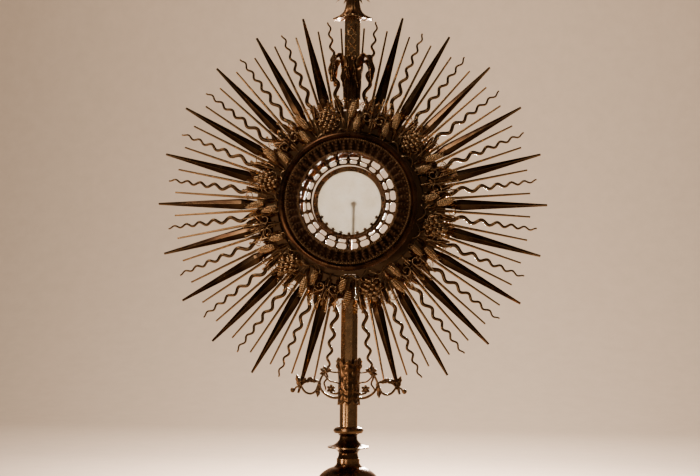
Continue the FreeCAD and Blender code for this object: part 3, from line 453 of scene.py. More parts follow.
def cut_plate(mesh, loops, thick, soft, place):
    """A flat plate with rounded edges from closed loops of (x, y); inner loops are its windows."""
    outline = bpy.data.curves.new("outline", "CURVE")
    outline.dimensions = "2D"
    outline.fill_mode = "BOTH"
    outline.extrude = thick / 2 - soft
    outline.bevel_depth = soft
    outline.bevel_resolution = 2
    outline.offset = -soft
    for loop in loops:
        spline = outline.splines.new("POLY")
        spline.points.add(len(loop) - 1)
        for point, (x, y) in zip(spline.points, loop):
            point.co = (x, y, 0, 1)
        spline.use_cyclic_u = True
    holder = bpy.data.objects.new("outline", outline)
    bpy.context.scene.collection.objects.link(holder)
    bpy.context.view_layer.update()
    flat = bpy.data.meshes.new_from_object(holder.evaluated_get(bpy.context.evaluated_depsgraph_get()))
    flat.transform(place)
    mesh.from_mesh(flat)
    bpy.data.objects.remove(holder)
    bpy.data.curves.remove(outline)
    bpy.data.meshes.remove(flat)
    bmesh.ops.remove_doubles(mesh, verts=mesh.verts, dist=0.000004)


def arc_loop(radius, first, last, steps):
    """Points (x, y) on a circle from one angle to another, both included."""
    return [polar(radius, first + (last - first) * k / steps).xy for k in range(steps + 1)]


def circle_loop(radius, count):
    return arc_loop(radius, 0.0, TAU, count)[:-1]


def grown_leaf(mesh, place, length, half_width, lobes, depth, rise, rib, steps, across, thick):
    """A chased leaf that grows along the place's Z with its face towards -Y.

    half_width is its widest half, lobes cuts its edge, depth is how deeply, rise(u) lifts it forwards at u
    from root (0) to tip (1), and rib is the height of its midrib as a share of the half width."""
    def spot(u, v, inside):
        body = math.sin(math.pi * min(u * 0.92 + 0.08, 1.0)) ** 0.7
        tooth = 1 - depth * (0.5 + 0.5 * math.cos(TAU * (u * lobes + 0.5))) * min(1, 4 * u)
        fold = half_width * rib * (1 - abs(v)) ** 1.5 * (1 - 0.5 * u)
        ripple = math.cos(TAU * (u * lobes * 2 + abs(v) * 0.8))
        veins = half_width * 0.05 * ripple * (1 - (1 - abs(v)) ** 2)
        cup = -half_width * 0.22 * v * v
        return place @ Vector((v * half_width * max(body * tooth, 0.012),
                               inside - (rise(u) + fold + veins + cup),
                               length * (u + 0.05 * abs(v) * math.sin(math.pi * u))))

    leaf_sheet(mesh, spot, thick, steps, across)


# ---------------------------------------------------------------- rays
def build_wavy_rays():
    """Flame-shaped rays with a ridge along their middle line."""
    low, high = 94 * MM, 202.5 * MM
    wave_height, waves, steps = 3.0 * MM, 5.8, 84
    mesh = bmesh.new()
    for number in range(24):
        place = radial(7.5 + 15 * number, 0, -PLATE_FRONT)
        line = []
        for i in range(steps + 1):
            share = i / steps
            swing = wave_height * (1 - 0.6 * share ** 1.5)
            line.append(Vector((swing * math.sin(TAU * waves * share ** 1.5), 0, low + (high - low) * share)))
        rows = []
        for i, point in enumerate(line):
            share = i / steps
            along = (line[min(i + 1, steps)] - line[max(i - 1, 0)]).normalized()
            normal = Vector((along.z, 0, -along.x))
            half = (2.45 - 1.6 * share ** 1.2) * MM
            ridge = (2.9 - 1.7 * share) * MM
            section = ((-half, 0), (-half, -0.35 * ridge), (-0.3 * half, -0.86 * ridge), (0, -ridge),
                       (0.3 * half, -0.86 * ridge), (half, -0.35 * ridge), (half, 0))
            rows.append([mesh.verts.new(place @ (point + normal * x + Vector((0, y, 0))))
                         for x, y in section])
        bridge(mesh, rows)
        mesh.faces.new(rows[0])
        mesh.faces.new(rows[-1])
    finish_piece("wavy_rays", mesh, "ray_brass", "stand", ["rays_wavy"])


def thicken(node, amount):
    """Grows a CAD node a little all round, as modifiers."""
    NODES[node].modifiers.new("joined", "WELD").merge_threshold = 0.01 * MM
    grow = NODES[node].modifiers.new("grown", "DISPLACE")
    grow.mid_level, grow.strength = 0.0, amount


def soften(node, width):
    """A soft edge on a CAD node, as a modifier."""
    edge = NODES[node].modifiers.new("soft_edge", "BEVEL")
    edge.width, edge.segments, edge.limit_method = width, 2, "ANGLE"
    edge.angle_limit = math.radians(30)


# ---------------------------------------------------------------- wreath
LEAF_ANGLES = [15 + 60 * k for k in range(6)]
GRAPE_ANGLES = [45 + 60 * k for k in range(6)]


def vine_leaf(mesh, place, size, seed):
    """A five-lobed, toothed vine leaf with raised veins, cupped, its stalk at the place's origin."""
    chance = random.Random(seed)
    heart = Vector((0, 0, size * 0.42))
    veins = [math.radians(a) for a in (0, 52, -52, 108, -108)]
    reach = [0.62, 0.56, 0.56, 0.44, 0.44]
    turns, rings = 96, 9
    tilt = chance.uniform(-0.12, 0.12)

    def edge(angle):
        best = 0.0
        for vein, far in zip(veins, reach):
            apart = abs((angle - vein + math.pi) % TAU - math.pi)
            best = max(best, far * math.exp(-(apart / 0.42) ** 2))
        base = 0.30 + 0.05 * math.cos(angle)
        notch = 1 - 0.5 * math.exp(-((abs(angle) - math.pi) / 0.22) ** 2)
        teeth = 1 + 0.045 * math.sin(angle * 22)
        return size * max(best, base) * notch * teeth

    def height(angle, share):
        nearest = min(abs((angle - v + math.pi) % TAU - math.pi) for v in veins)
        vein = 0.045 * math.exp(-(nearest * share / 0.07) ** 2) * (1 - 0.6 * share)
        puff = 0.035 * math.sin(math.pi * min(1.0, nearest / 0.45)) * math.sin(math.pi * share)
        curl = 0.13 * share ** 2 * math.cos(angle * 2.5 + seed)
        return size * (0.10 + vein + puff - 0.10 * share ** 2 + curl * 0.5)

    sheets = []
    for back in (0.0, 0.9 * MM):
        centre = mesh.verts.new(place @ (heart + Vector((0, -height(0, 0) + back, 0))))
        rows = []
        for j in range(1, rings + 1):
            share = j / rings
            row = []
            for k in range(turns):
                angle = -math.pi + TAU * k / turns
                far = edge(angle) * share
                x = far * math.sin(angle)
                row.append(mesh.verts.new(place @ (heart + Vector((x, -height(angle, share) + back + tilt * x,
                                                                   far * math.cos(angle))))))
            rows.append(row)
        for k in range(turns):
            mesh.faces.new((centre, rows[0][k], rows[0][(k + 1) % turns]))
        bridge(mesh, rows)
        sheets.append(rows[-1])
    bridge(mesh, sheets)
    stalk = curve_points([Vector((0, 0, -0.02 * size)), Vector((0, -0.06 * size, 0.2 * size)),
                          Vector((0, -0.08 * size, 0.42 * size))], 8)
    tube(mesh, [place @ p for p in stalk], 1.1 * MM, 8)


def build_leaves():
    mesh = bmesh.new()
    for number, angle in enumerate(LEAF_ANGLES):
        vine_leaf(mesh, radial(angle, 79 * MM, RING_LIFT), 34 * MM, number)
    finish_piece("leaves_of_vine", mesh, "wreath_brass", "stand", ["vine_leaves"])


def wheat_ear(mesh, place, half_length, half_width):
    """A fat ear along Z: rows of grains set in a chevron, three across the front, round a core."""
    rows = 8
    for i in range(rows):
        u = (i + 0.5) / rows
        z = half_length * (2 * u - 1)
        bulk = half_width * (0.45 + 0.75 * math.sin(math.pi * (0.12 + 0.80 * u)))
        for turn in (-1.35, -0.45, 0.45, 1.35, 2.6, -2.6):
            lean = Matrix.Rotation(turn, 4, "Z") @ Matrix.Translation((0, -bulk * 0.62, z)) \
                @ Matrix.Rotation(math.radians(24), 4, "X")
            ball(mesh, place @ lean, 1, 8, 6, (bulk * 0.36, bulk * 0.30, half_length * 0.20))
    for turn in (-0.9, 0.0, 0.9):
        tip = [Vector((0, 0, half_length * 0.9)), Vector((half_width * 0.4 * turn, 0, half_length * 1.25)),
               Vector((half_width * turn, 0, half_length * 1.5))]
        tube(mesh, [place @ p for p in curve_points(tip, 5)],
             [size * MM for size in (0.5, 0.45, 0.4, 0.3, 0.22, 0.12)], 6)


EARS = [(102 * MM, 14, 8.6 * MM), (87.5 * MM, 10.5, 6.8 * MM)]
EAR_LIFT = 13.2 * MM


def build_ears():
    mesh = bmesh.new()
    for centre in LEAF_ANGLES:
        upright = radial(centre).to_3x3().to_4x4()
        for reach, swing, half_length in EARS:
            for side in (-1, 1):
                spot = radial(centre + side * swing, reach, EAR_LIFT).translation
                place = Matrix.Translation(spot) @ upright
                wheat_ear(mesh, place, half_length, 3.6 * MM)
                stalk = curve_points([Vector((0, 0, -half_length * 0.8)),
                                      Vector((0, 0.2 * EAR_LIFT, -half_length * 1.3)),
                                      Vector((-side * 2 * MM, EAR_LIFT - RING_LIFT, -half_length * 1.7))], 8)
                tube(mesh, [place @ p for p in stalk], 0.8 * MM, 8)
    finish_piece("ears_of_wheat", mesh, "wreath_brass", "stand", ["wheat_ears"])


def build_grapes():
    mesh = bmesh.new()
    pitch = 5.6 * MM
    for number, angle in enumerate(GRAPE_ANGLES):
        chance = random.Random(40 + number)
        place = radial(angle, 95 * MM, 10 * MM)
        for layer, (rows, lift) in enumerate((((2, 3, 4, 3, 2, 1), 0.0), ((1, 2, 3, 2, 1), 3.4 * MM))):
            for row, count in enumerate(rows):
                for k in range(count):
                    spot = Vector(((k - (count - 1) / 2) * pitch, -lift,
                                   (row - 2.4 + 0.45 * layer) * pitch * 0.82))
                    spot += Vector([chance.uniform(-0.35, 0.35) * MM for _ in range(3)])
                    size = (3.1 + chance.uniform(-0.25, 0.25)) * MM
                    ball(mesh, place @ Matrix.Translation(spot), size, 14, 9)
        stalk = curve_points([Vector((0, 4 * MM, -16 * MM)), Vector((0, 1 * MM, -13 * MM)),
                              Vector((0, 0, -9 * MM))], 6)
        tube(mesh, [place @ p for p in stalk], 1.1 * MM, 8)
    finish_piece("bunches_of_grapes", mesh, "wreath_brass", "stand", ["grape_clusters"])


def curl(mesh, place, radius, turns, hand, wire=0.75 * MM, rise=2.5 * MM, end_share=0.35):
    """A wire tendril along Z from the place's origin that winds into a spiral."""
    steps = 30
    points = []
    for i in range(steps + 1):
        u = i / steps
        size = radius * (1 - (1 - end_share) * u)
        angle = TAU * turns * u
        points.append(Vector((hand * (radius - size * math.cos(angle)), -rise * math.sin(math.pi * u * 0.5),
                              size * math.sin(angle))))
    tube(mesh, [place @ p for p in points], [wire * (1 - 0.4 * i / steps) for i in range(steps + 1)], 7)
    ball(mesh, place @ Matrix.Translation(points[-1]), wire * 1.5, 8, 6)


def build_tendrils():
    """Wire loops round the ears and the grapes, short wires that end in a bead, and wire arcs."""
    mesh = bmesh.new()
    for angle in LEAF_ANGLES:
        for side in (-1, 1):
            curl(mesh, radial(angle + side * 19.5, 90 * MM, 8 * MM), 8.6 * MM, 1.15, -side, rise=5 * MM)
            curl(mesh, radial(angle + side * 8.5, 94 * MM, 9 * MM), 6.4 * MM, 1.1, side, rise=5 * MM)
            curl(mesh, radial(angle + side * 23.5, 101 * MM, 7 * MM), 5.2 * MM, 1.2, -side, 0.65 * MM)
            curl(mesh, radial(angle + side * 4.5, 104 * MM, 7 * MM), 4.4 * MM, 1.2, side, 0.6 * MM)
            curl(mesh, radial(angle + side * 27.5, 108 * MM, 6 * MM), 4.6 * MM, 1.2, side, 0.6 * MM)
            curl(mesh, radial(angle + side * 17.0, 110 * MM, 7 * MM), 4.8 * MM, 1.25, -side, 0.65 * MM)
            curl(mesh, radial(angle + side * 10.0, 108 * MM, 6 * MM), 4.2 * MM, 1.2, side, 0.6 * MM)
            curl(mesh, radial(angle + side * 14.0, 80 * MM, 9 * MM), 4.6 * MM, 1.1, side, 0.65 * MM)
            for step, reach, drift in ((20.5, 118, 1.6), (8.0, 117, -1.2), (25.5, 114, -1.4),
                                       (1.6, 119, 0.8)):
                stem = [radial(angle + side * (step + drift * k / 3), (84 + (reach - 84) * k / 3) * MM,
                               (7 + 3.5 * math.sin(k)) * MM).translation for k in range(4)]
                tube(mesh, curve_points(stem, 14), 0.7 * MM, 7)
                ball(mesh, stem[-1], 1.5 * MM, 10, 7)
            arc = [radial(angle + side * (16 + 3.2 * k), (76.5 + 5.5 * math.sin(k * 0.9)) * MM,
                          (9 + 3 * math.sin(k * 0.7)) * MM).translation for k in range(5)]
            tube(mesh, curve_points(arc, 18), 0.75 * MM, 7)
    finish_piece("wire_tendrils", mesh, "wreath_brass", "stand", ["tendrils"])


def build_bracts():
    mesh = bmesh.new()
    for angle in LEAF_ANGLES:
        for side in (-1, 1):
            for step, reach, length, half, lean in ((18, 81, 14, 3.0, 14), (6.5, 81, 15, 3.0, -8),
                                                    (26, 84, 15, 3.2, 24), (12.5, 93, 12, 2.4, 30),
                                                    (21.5, 98, 17, 3.0, -16), (5.5, 101, 15, 2.8, 12),
                                                    (28.5, 103, 13, 2.6, 8), (9.5, 79, 11, 2.4, 34),
                                                    (23.0, 79, 11, 2.4, -30)):
                place = radial(angle + side * step, reach * MM, 7.4 * MM) \
                    @ Matrix.Rotation(math.radians(side * lean), 4, "Y")
                grown_leaf(mesh, place, length * MM, half * MM, 3, 0.18,
                           lambda u: 4.5 * MM * u * u, 0.35, 14, 7, 0.9 * MM)
    finish_piece("bract_leaves", mesh, "wreath_brass", "stand", ["wheat_bracts"])


# ---------------------------------------------------------------- case
def build_beads():
    """Beaded wires: round beads strung along the CAD wires' circles."""
    for name, node, count, radius in (("outer_beads", "outer_beaded_wire", 200, 0.95 * MM),
                                      ("inner_beads", "inner_beaded_wire", 150, 1.0 * MM)):
        low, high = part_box(node)
        circle = high.x - 0.95 * MM
        place = front_place((low.y + high.y) / 2 - BEZEL_FRONT)
        mesh = bmesh.new()
        for k in range(count):
            ball(mesh, place @ polar(circle, TAU * k / count), radius, 10, 6)
        finish_piece(name, mesh, "case_brass", "stand", [node])


def build_leaf_band():
    """A ring of upright leaves in relief, with a bead between each two, on the bezel's flat."""
    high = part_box("bezel_leaf_band")[1]
    inner, outer = 53.8 * MM, high.x
    place = front_place(high.y - BEZEL_FRONT)
    leaves, around, across = 48, 16, 14

    def relief(share, phase):
        """Height over the ground at share of the way out and phase (-0.5 to 0.5) across one leaf."""
        side = abs(phase) * 2
        half = 0.78 * math.sin(math.pi * min(1.0, 0.16 + 0.78 * share)) ** 0.6
        body = max(0.0, 1 - (side / half) ** 2.5)
        rib = math.exp(-(side / 0.10) ** 2) * (1 - share)
        lobes = 0.25 * math.cos(TAU * (share * 3.5 - side * 0.6)) * body
        dot = math.exp(-(((side - 1) / 0.20) ** 2 + ((share - 0.86) / 0.09) ** 2))
        fringe = 0.6 if share < 0.06 or share > 0.95 else 0.0
        return max(body * 0.75 + 0.35 * rib + lobes, dot, fringe)

    mesh = bmesh.new()
    turns = leaves * around
    rows = []
    for j in range(across + 1):
        share = j / across
        radius = inner + (outer - inner) * share
        row = []
        for k in range(turns):
            angle = TAU * k / turns
            up = (0.25 + 1.45 * relief(share, (k % around) / around - 0.5)) * MM
            row.append(mesh.verts.new(place @ polar(radius, angle, up)))
        rows.append(row)
    base = [[mesh.verts.new(place @ polar(r, TAU * k / turns)) for k in range(turns)] for r in (inner, outer)]
    bridge(mesh, [*rows, base[1], base[0], rows[0]])
    # the leaf band takes the darker relief metal as painted shade
    finish_piece("leaf_band", mesh, "case_brass", "stand", ["bezel_leaf_band"], relief_metal_painted_shade)


def window(angle, radius, wide, tall, corner, count=5):
    """A rounded window centred at radius in direction angle, wide across and tall along the radius."""
    out = Vector((math.cos(angle), math.sin(angle)))
    side = Vector((-out.y, out.x))
    loop = []
    for sx, sy, start in ((1, 1, 0.0), (-1, 1, 0.25), (-1, -1, 0.5), (1, -1, 0.75)):
        for k in range(count + 1):
            turn = TAU * (start + 0.25 * k / count)
            x = sx * (wide / 2 - corner) + corner * math.cos(turn)
            y = sy * (tall / 2 - corner) + corner * math.sin(turn)
            spot = out * (radius + y) + side * x
            loop.append((spot.x, spot.y))
    return loop


CELLS = 24


def build_gallery():
    """The pierced ring: two rows of rounded windows, with a boss on each bar."""
    low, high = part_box("pierced_gallery")
    thick = high.y - low.y
    loops = [circle_loop(high.x, 192), circle_loop(38.7 * MM, 144)]
    for k in range(CELLS):
        angle = TAU * (k + 0.5) / CELLS
        loops.append(window(angle, 47.9 * MM, 9.9 * MM, 5.9 * MM, 2.3 * MM))
        loops.append(window(angle, 42.1 * MM, 7.6 * MM, 3.7 * MM, 1.6 * MM))
    mesh = bmesh.new()
    place = front_place(low.y + thick / 2 - BEZEL_FRONT)
    cut_plate(mesh, loops, thick, 0.4 * MM, place)
    for k in range(CELLS):
        angle = TAU * k / CELLS
        for radius, size in ((44.6 * MM, 1.25 * MM), (50.6 * MM, 0.9 * MM), (40.2 * MM, 0.8 * MM)):
            spot = polar(radius, angle, thick / 2)
            ball(mesh, place @ Matrix.Translation(spot), size, 10, 7, (1, 1, 0.7))
    finish_piece("gallery_of_windows", mesh, "case_brass", "stand", ["pierced_gallery"])


def build_crescent():
    """The lunette's cresting: a crescent with a row of small lily-shaped points over the host's edge."""
    low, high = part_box("lunette_crescent")
    outer, inner = 39.2 * MM, 34.9 * MM
    first, last, pitch = math.radians(200), math.radians(340), math.radians(15.556)
    loop = arc_loop(outer, first, last, 60)
    points = round((last - first) / pitch)
    lily = ((0.5, 0.6), (0.42, 0.0), (0.24, 0.3), (0.13, 1.5), (0.26, 2.2), (0.24, 2.9), (0.10, 2.7),
            (0.0, 4.3))
    for number in range(points):
        middle = last - pitch * (number + 0.5)
        loop += [polar(inner - rise * MM, middle + pitch * share).xy for share, rise in lily]
        loop += [polar(inner - rise * MM, middle - pitch * share).xy for share, rise in reversed(lily[:-1])]
    mesh = bmesh.new()
    cut_plate(mesh, [loop], 1.0 * MM, 0.25 * MM, front_place((low.y + high.y) / 2 - BEZEL_FRONT))
    for number in range(points):
        angle = last - pitch * (number + 0.5)
        spot = front_place(low.y - BEZEL_FRONT) @ polar(37 * MM, angle)
        ball(mesh, spot, 0.9 * MM, 10, 7, (1, 0.7, 1))
    finish_piece("crescent_of_lilies", mesh, "lunette_gilt", "lunette", ["lunette_crescent"])


# ---------------------------------------------------------------- stem and its brackets
SLEEVE_LOW, SLEEVE_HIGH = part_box("stem_acanthus")


def wrapped_leaf(mesh, around, foot, height, half, stand_off, flare, lobes=4, down=False, droop=0.0):
    """An acanthus leaf that lies on the stem, its face outwards, with its tip flared away from it.

    around is its direction in degrees from the front, foot its height, half its half width in degrees."""
    def spot(u, v, inside):
        body = max(math.sin(math.pi * (0.12 + 0.88 * u)) ** 0.55, 0.03)
        tooth = 1 - 0.30 * (0.5 + 0.5 * math.cos(TAU * (u * lobes + 0.5))) * min(1, 5 * u)
        rib = 0.9 * MM * (1 - abs(v)) ** 1.6
        groove = 0.45 * MM * math.cos(TAU * (u * lobes + abs(v) * 0.55)) * abs(v) ** 0.6
        bend = flare * u ** 3 - flare * 0.25 * v * v * u
        out = stand_off + rib + groove + bend - inside
        turn = math.radians(around + v * half * body * tooth)
        rise = height * (u - droop * u ** 4 + 0.05 * abs(v) * math.sin(math.pi * u))
        return Vector((out * math.sin(turn), -out * math.cos(turn), foot - rise if down else foot + rise))

    leaf_sheet(mesh, spot, 0.9 * MM, 30, 11)


def build_stem_leaves():
    """Leaves wrapped round the stem's joint: some climb and curl over, others hang with their tips down."""
    mesh = bmesh.new()
    foot, top = SLEEVE_LOW.z, SLEEVE_HIGH.z
    lathe(mesh, [(9.2 * MM, foot + 6 * MM), (10.4 * MM, foot + 7 * MM), (11.2 * MM, foot + 20 * MM),
                 (11.0 * MM, foot + 38 * MM), (10.2 * MM, foot + 44 * MM), (9.2 * MM, foot + 45 * MM)], 48)
    for k in range(4):
        wrapped_leaf(mesh, 90 * k, foot + 10 * MM, 42 * MM, 46, 10.6 * MM, 3.2 * MM, 4, droop=0.10)
        wrapped_leaf(mesh, 90 * k + 45, foot + 14 * MM, 36 * MM, 32, 10.9 * MM, 1.6 * MM, 3)
        wrapped_leaf(mesh, 90 * k + 45, foot + 16 * MM, 15 * MM, 30, 10.7 * MM, 0.8 * MM, 2, down=True)
        wrapped_leaf(mesh, 90 * k, foot + 22 * MM, 22 * MM, 38, 10.9 * MM, 0.6 * MM, 3, down=True)
    for side in (-1, 1):
        for place, radius, stretch in (((side * 11.3 * MM, -1 * MM, top - 6 * MM), 2.3 * MM, (1, 1, 1.9)),
                                       ((side * 12.4 * MM, -1 * MM, top - 11 * MM), 2.0 * MM, (1, 1, 1.5))):
            ball(mesh, Vector(place), radius, 14, 10, stretch)
    finish_piece("stem_leaves", mesh, "stem_brass", "stand", ["stem_acanthus"])


SCROLL_LOW, SCROLL_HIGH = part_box("scroll_right")
SCROLL_DEPTH = (SCROLL_LOW.y + SCROLL_HIGH.y) / 2
SCROLL_HEIGHT = 0.300   # the level that the scrolls' points are measured from


def build_scrolls():
    """The two brackets: tapering C-scrolls with leaves, buds, a bloom and a rosette."""
    for name, node, side in (("right_scrollwork", "scroll_right", 1), ("left_scrollwork", "scroll_left", -1)):
        mesh = bmesh.new()

        def spot(out, up, forward=0.0):
            return Vector((side * out * MM, SCROLL_DEPTH - forward * MM, SCROLL_HEIGHT + up * MM))

        def strand(corners, thick_from, thick_to, count=26):
            points = curve_points([spot(*c) for c in corners], count)
            sizes = [(thick_from + (thick_to - thick_from) * i / count) * MM for i in range(count + 1)]
            tube(mesh, points, sizes, 10)

        strand([(9.5, -8.4), (15, -9.0), (21, -7.4), (27, -3.2), (30.4, 2), (31, 7.5), (28.6, 13.5),
                (24.6, 18.4), (21.5, 18.6)], 1.5, 1.1, 40)
        strand([(31.4, 8.5), (32.6, 3), (36, -2.8), (41.5, -5), (47, -2.8), (51, 3), (53, 8.5)], 1.3, 1.2, 32)
        strand([(47, -2.8), (50.5, 1.6), (54, 2.6), (57, 1.2), (58.6, -1.6), (60.6, -1.8)], 1.2, 0.9)
        strand([(30.6, 7.2), (36, 8.6), (41.5, 8.8), (47, 8.6), (53, 7.2)], 1.1, 1.1)
        strand([(9, 19), (13, 18.2), (18, 18.6), (23, 20)], 0.9, 0.8)
        strand([(26.5, 16.5), (24, 12.6), (19.5, 8.6), (14, 7.6), (10, 6)], 0.9, 0.8)
        strand([(10, -3), (13, -4.6), (17.6, -3.8), (20.6, -0.6), (19.4, 2.4), (17.0, 2.2)], 1.3, 0.8)
        ball(mesh, spot(60.2, -1.4), 2.7 * MM, 16, 10)
        ball(mesh, spot(31.4, 5.4), 2.1 * MM, 14, 9, (1, 0.9, 1))

        def leaf(out, up, tilt, length, half, bend=2.0, forward=0.6):
            place = Matrix.Translation(spot(out, up, forward)) \
                @ Matrix.Rotation(math.radians(side * tilt), 4, "Y")
            grown_leaf(mesh, place, length * MM, half * MM, 3, 0.28,
                       lambda u: bend * MM * (u - 0.5) ** 2, 0.4, 20, 9, 1.4 * MM)

        leaf(52.0, 0.5, 16, 15.5, 3.0)
        leaf(50.6, 4.0, -30, 9.5, 2.4)
        leaf(32.2, 6.0, 176, 15.0, 2.6)
        leaf(34.0, 3.0, 196, 10.0, 2.0)
        leaf(33.0, 8.2, 84, 10.5, 2.3)
        leaf(51.0, 8.0, -86, 10.5, 2.3)
        leaf(38.5, 9.0, 40, 5.0, 1.8)
        leaf(44.5, 9.0, -40, 5.0, 1.8)
        for tilt in (-62, -20, 20, 62, 110):
            leaf(24.5, 18.6, tilt, 7.2, 2.1, 3.0)
        ball(mesh, spot(24.5, 19, 1.2), 1.7 * MM, 12, 8)
        for k in range(6):
            leaf(18.6, 0.4, 60 * k, 5.2, 1.9, 3.4, 1.4)
        ball(mesh, spot(18.6, 0.4, 2.6), 1.5 * MM, 12, 8)
        finish_piece(name, mesh, "stem_brass", "stand", [node])


# ---------------------------------------------------------------- column, canopy and cross
COLUMN_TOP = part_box("top_column")[1].z


def build_column_lattice():
    """Crossing strips with studs on the column's front and back, and an edge wire at each side."""
    mesh = bmesh.new()
    low, high, half = CENTRE.z + 160 * MM, COLUMN_TOP - 6 * MM, 4.2 * MM
    cell = (high - low) / 4
    for face in (-1, 1):
        surface = face * 8.35 * MM
        for k in range(4):
            for start, end in ((-1, 1), (1, -1)):
                line = [Vector((start * half, surface, low + cell * k)), Vector((end * half, surface,
                                                                                 low + cell * (k + 1)))]
                tube(mesh, curve_points([line[0], (line[0] + line[1]) / 2, line[1]], 6), 0.75 * MM, 7)
            ball(mesh, Vector((0, surface + face * 0.5 * MM, low + cell * (k + 0.5))), 1.3 * MM, 10, 7)
        for side in (-1, 1):
            edge = [Vector((side * half * 1.02, surface, low)), Vector((side * half * 1.02, surface, high))]
            tube(mesh, edge, 0.6 * MM, 6)
    finish_piece("column_latticework", mesh, "stem_brass", "stand")


def build_palmette():
    """Leaves that climb the column's foot and roll outwards, two large at the sides and smaller between."""
    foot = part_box("column_palmette")[0].z
    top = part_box("column_palmette")[1].z
    rise = top - foot
    mesh = bmesh.new()
    for side in (-1, 1):
        rolled_leaf(mesh, side * 62, foot, rise * 0.98, 14 * MM, 7.6 * MM)
        rolled_leaf(mesh, side * 24, foot - 4 * MM, rise * 0.80, 9 * MM, 5.2 * MM)
        rolled_leaf(mesh, side * 118, foot, rise * 0.90, 12 * MM, 7.0 * MM)
    rolled_leaf(mesh, 0, foot - 2 * MM, rise * 1.0, 5 * MM, 5.4 * MM)
    rolled_leaf(mesh, 180, foot, rise * 0.9, 7 * MM, 6.0 * MM)
    finish_piece("column_leaves", mesh, "stem_brass", "stand", ["column_palmette"])


def rolled_leaf(mesh, around, foot, height, reach, half, steps=40):
    """A leaf that climbs beside the column, arches outwards and hangs its tip, like a capital's."""
    turn = math.radians(around)
    out = Vector((math.sin(turn), -math.cos(turn), 0))
    side = Vector((math.cos(turn), math.sin(turn), 0))
    corners = [(0.0, 0.0), (0.05, 0.35), (0.14, 0.72), (0.42, 0.98), (0.82, 0.90), (1.0, 0.62), (0.90, 0.40)]
    spine = curve_points([Vector((0, 0, foot)) + out * (9.2 * MM + reach * a) + Vector((0, 0, height * b))
                          for a, b in corners], steps)

    def spot(u, v, inside):
        i = round(u * steps)
        along = (spine[min(i + 1, steps)] - spine[max(i - 1, 0)]).normalized()
        normal = side.cross(along).normalized()
        if normal.dot(out) < 0 and u < 0.5:
            normal = -normal
        body = max(math.sin(math.pi * (0.16 + 0.84 * u)) ** 0.6, 0.04)
        tooth = 1 - 0.32 * (0.5 + 0.5 * math.cos(TAU * (u * 5 + 0.5))) * min(1, 5 * u)
        rib = 1.1 * MM * (1 - abs(v)) ** 1.6
        groove = 0.5 * MM * math.cos(TAU * (u * 5 + abs(v) * 0.5)) * abs(v) ** 0.6
        return spine[i] + side * (v * half * body * tooth) \
            + normal * (rib + groove - half * 0.28 * v * v - inside)

    leaf_sheet(mesh, spot, 1.0 * MM, steps, 11)


def build_canopy():
    """A calyx over the column: a fluted neck whose foot spreads into pointed, ridged petals."""
    low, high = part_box("canopy")
    foot, top, wide = low.z, high.z, high.x
    rise = top - foot
    profile = [(3.2 * MM, top - 0.2 * MM), (6.6 * MM, top), (6.9 * MM, top - 0.1 * rise),
               (7.6 * MM, foot + 0.68 * rise), (8.6 * MM, foot + 0.5 * rise), (10.4 * MM, foot + 0.36 * rise),
               (13.2 * MM, foot + 0.25 * rise), (17.0 * MM, foot + 0.16 * rise), (wide, foot + 0.06 * rise),
               (wide - 0.5 * MM, foot + 0.01 * rise), (16.0 * MM, foot + 0.07 * rise),
               (10.0 * MM, foot + 0.12 * rise), (9.3 * MM, foot + 0.03 * rise),
               (3.2 * MM, foot + 0.02 * rise)]

    def petals(angle, i, radius, height):
        """Four points at the front, back and sides; each petal has a raised ridge and turned edges."""
        swing = abs(math.cos(2 * angle))
        share = max(0.0, (radius - 8.0 * MM) / (wide - 8.0 * MM))
        point = 0.60 + 0.40 * swing ** 1.6
        ridge = 0.9 * MM * math.exp(-((1 - swing) / 0.02)) * (0.3 + share)
        flute = 0.35 * MM * math.cos(16 * angle) * (1 - share)
        lobe = 1 - 0.10 * share * (0.5 + 0.5 * math.cos(20 * angle))
        r = radius * (1 - share * (1 - point)) * lobe + flute * (radius > 6 * MM)
        h = height + (ridge if i < 9 else 0.0) + share * (1 - swing) * 1.6 * MM
        return min(r, wide), min(h, top)

    mesh = bmesh.new()
    rings = lathe(mesh, profile, 160, wave=petals)
    bridge(mesh, [rings[-1], rings[0]])
    finish_piece("canopy_calyx", mesh, "stem_brass", "stand", ["canopy"])


def build_cross():
    """A flat cross with trefoil ends and rounded edges."""
    low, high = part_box("cross")
    tip, top = high.x, high.z
    bar = 3.4 * MM
    lobe = 4.8 * MM
    centre_z = middle_of("cross_glory").z
    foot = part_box("finial_knob")[1].z
    mesh = bmesh.new()
    side_reach, top_reach = tip - 1.9 * lobe, top - centre_z - 1.9 * lobe
    ends = [(0.0, side_reach), (math.pi / 2, top_reach), (math.pi, side_reach)]
    loop = [(bar, foot - centre_z), (bar, -bar)]
    for angle, reach in ends:
        out = Vector((math.cos(angle), math.sin(angle)))
        left = Vector((-out.y, out.x))
        side_start = out * (reach - 0.2 * lobe) - left * bar
        loop.append(tuple(side_start))
        for along, across, first, last in ((-0.3, -0.9, -2.4, 0.15), (0.9, 0.0, -1.25, 1.25),
                                           (-0.3, 0.9, -0.15, 2.4)):
            hub = out * (reach + along * lobe) + left * (across * lobe)
            for k in range(9):
                turn = first + (last - first) * k / 8
                loop.append(tuple(hub + (out * math.cos(turn) + left * math.sin(turn)) * lobe))
        loop.append(tuple(out * (reach - 0.2 * lobe) + left * bar))
        if angle < math.pi - 0.1:
            loop.append(tuple(out * bar + left * bar))
    loop += [(-bar, -bar), (-bar, foot - centre_z)]
    place = Matrix((Vector((1, 0, 0)), Vector((0, 0, 1)), Vector((0, -1, 0)))).transposed().to_4x4()
    place.translation = Vector((0, (low.y + high.y) / 2, centre_z))
    cut_plate(mesh, [loop], 3.6 * MM, 0.7 * MM, place)
    finish_piece("cross_plate", mesh, "stem_brass", "stand", ["cross"])


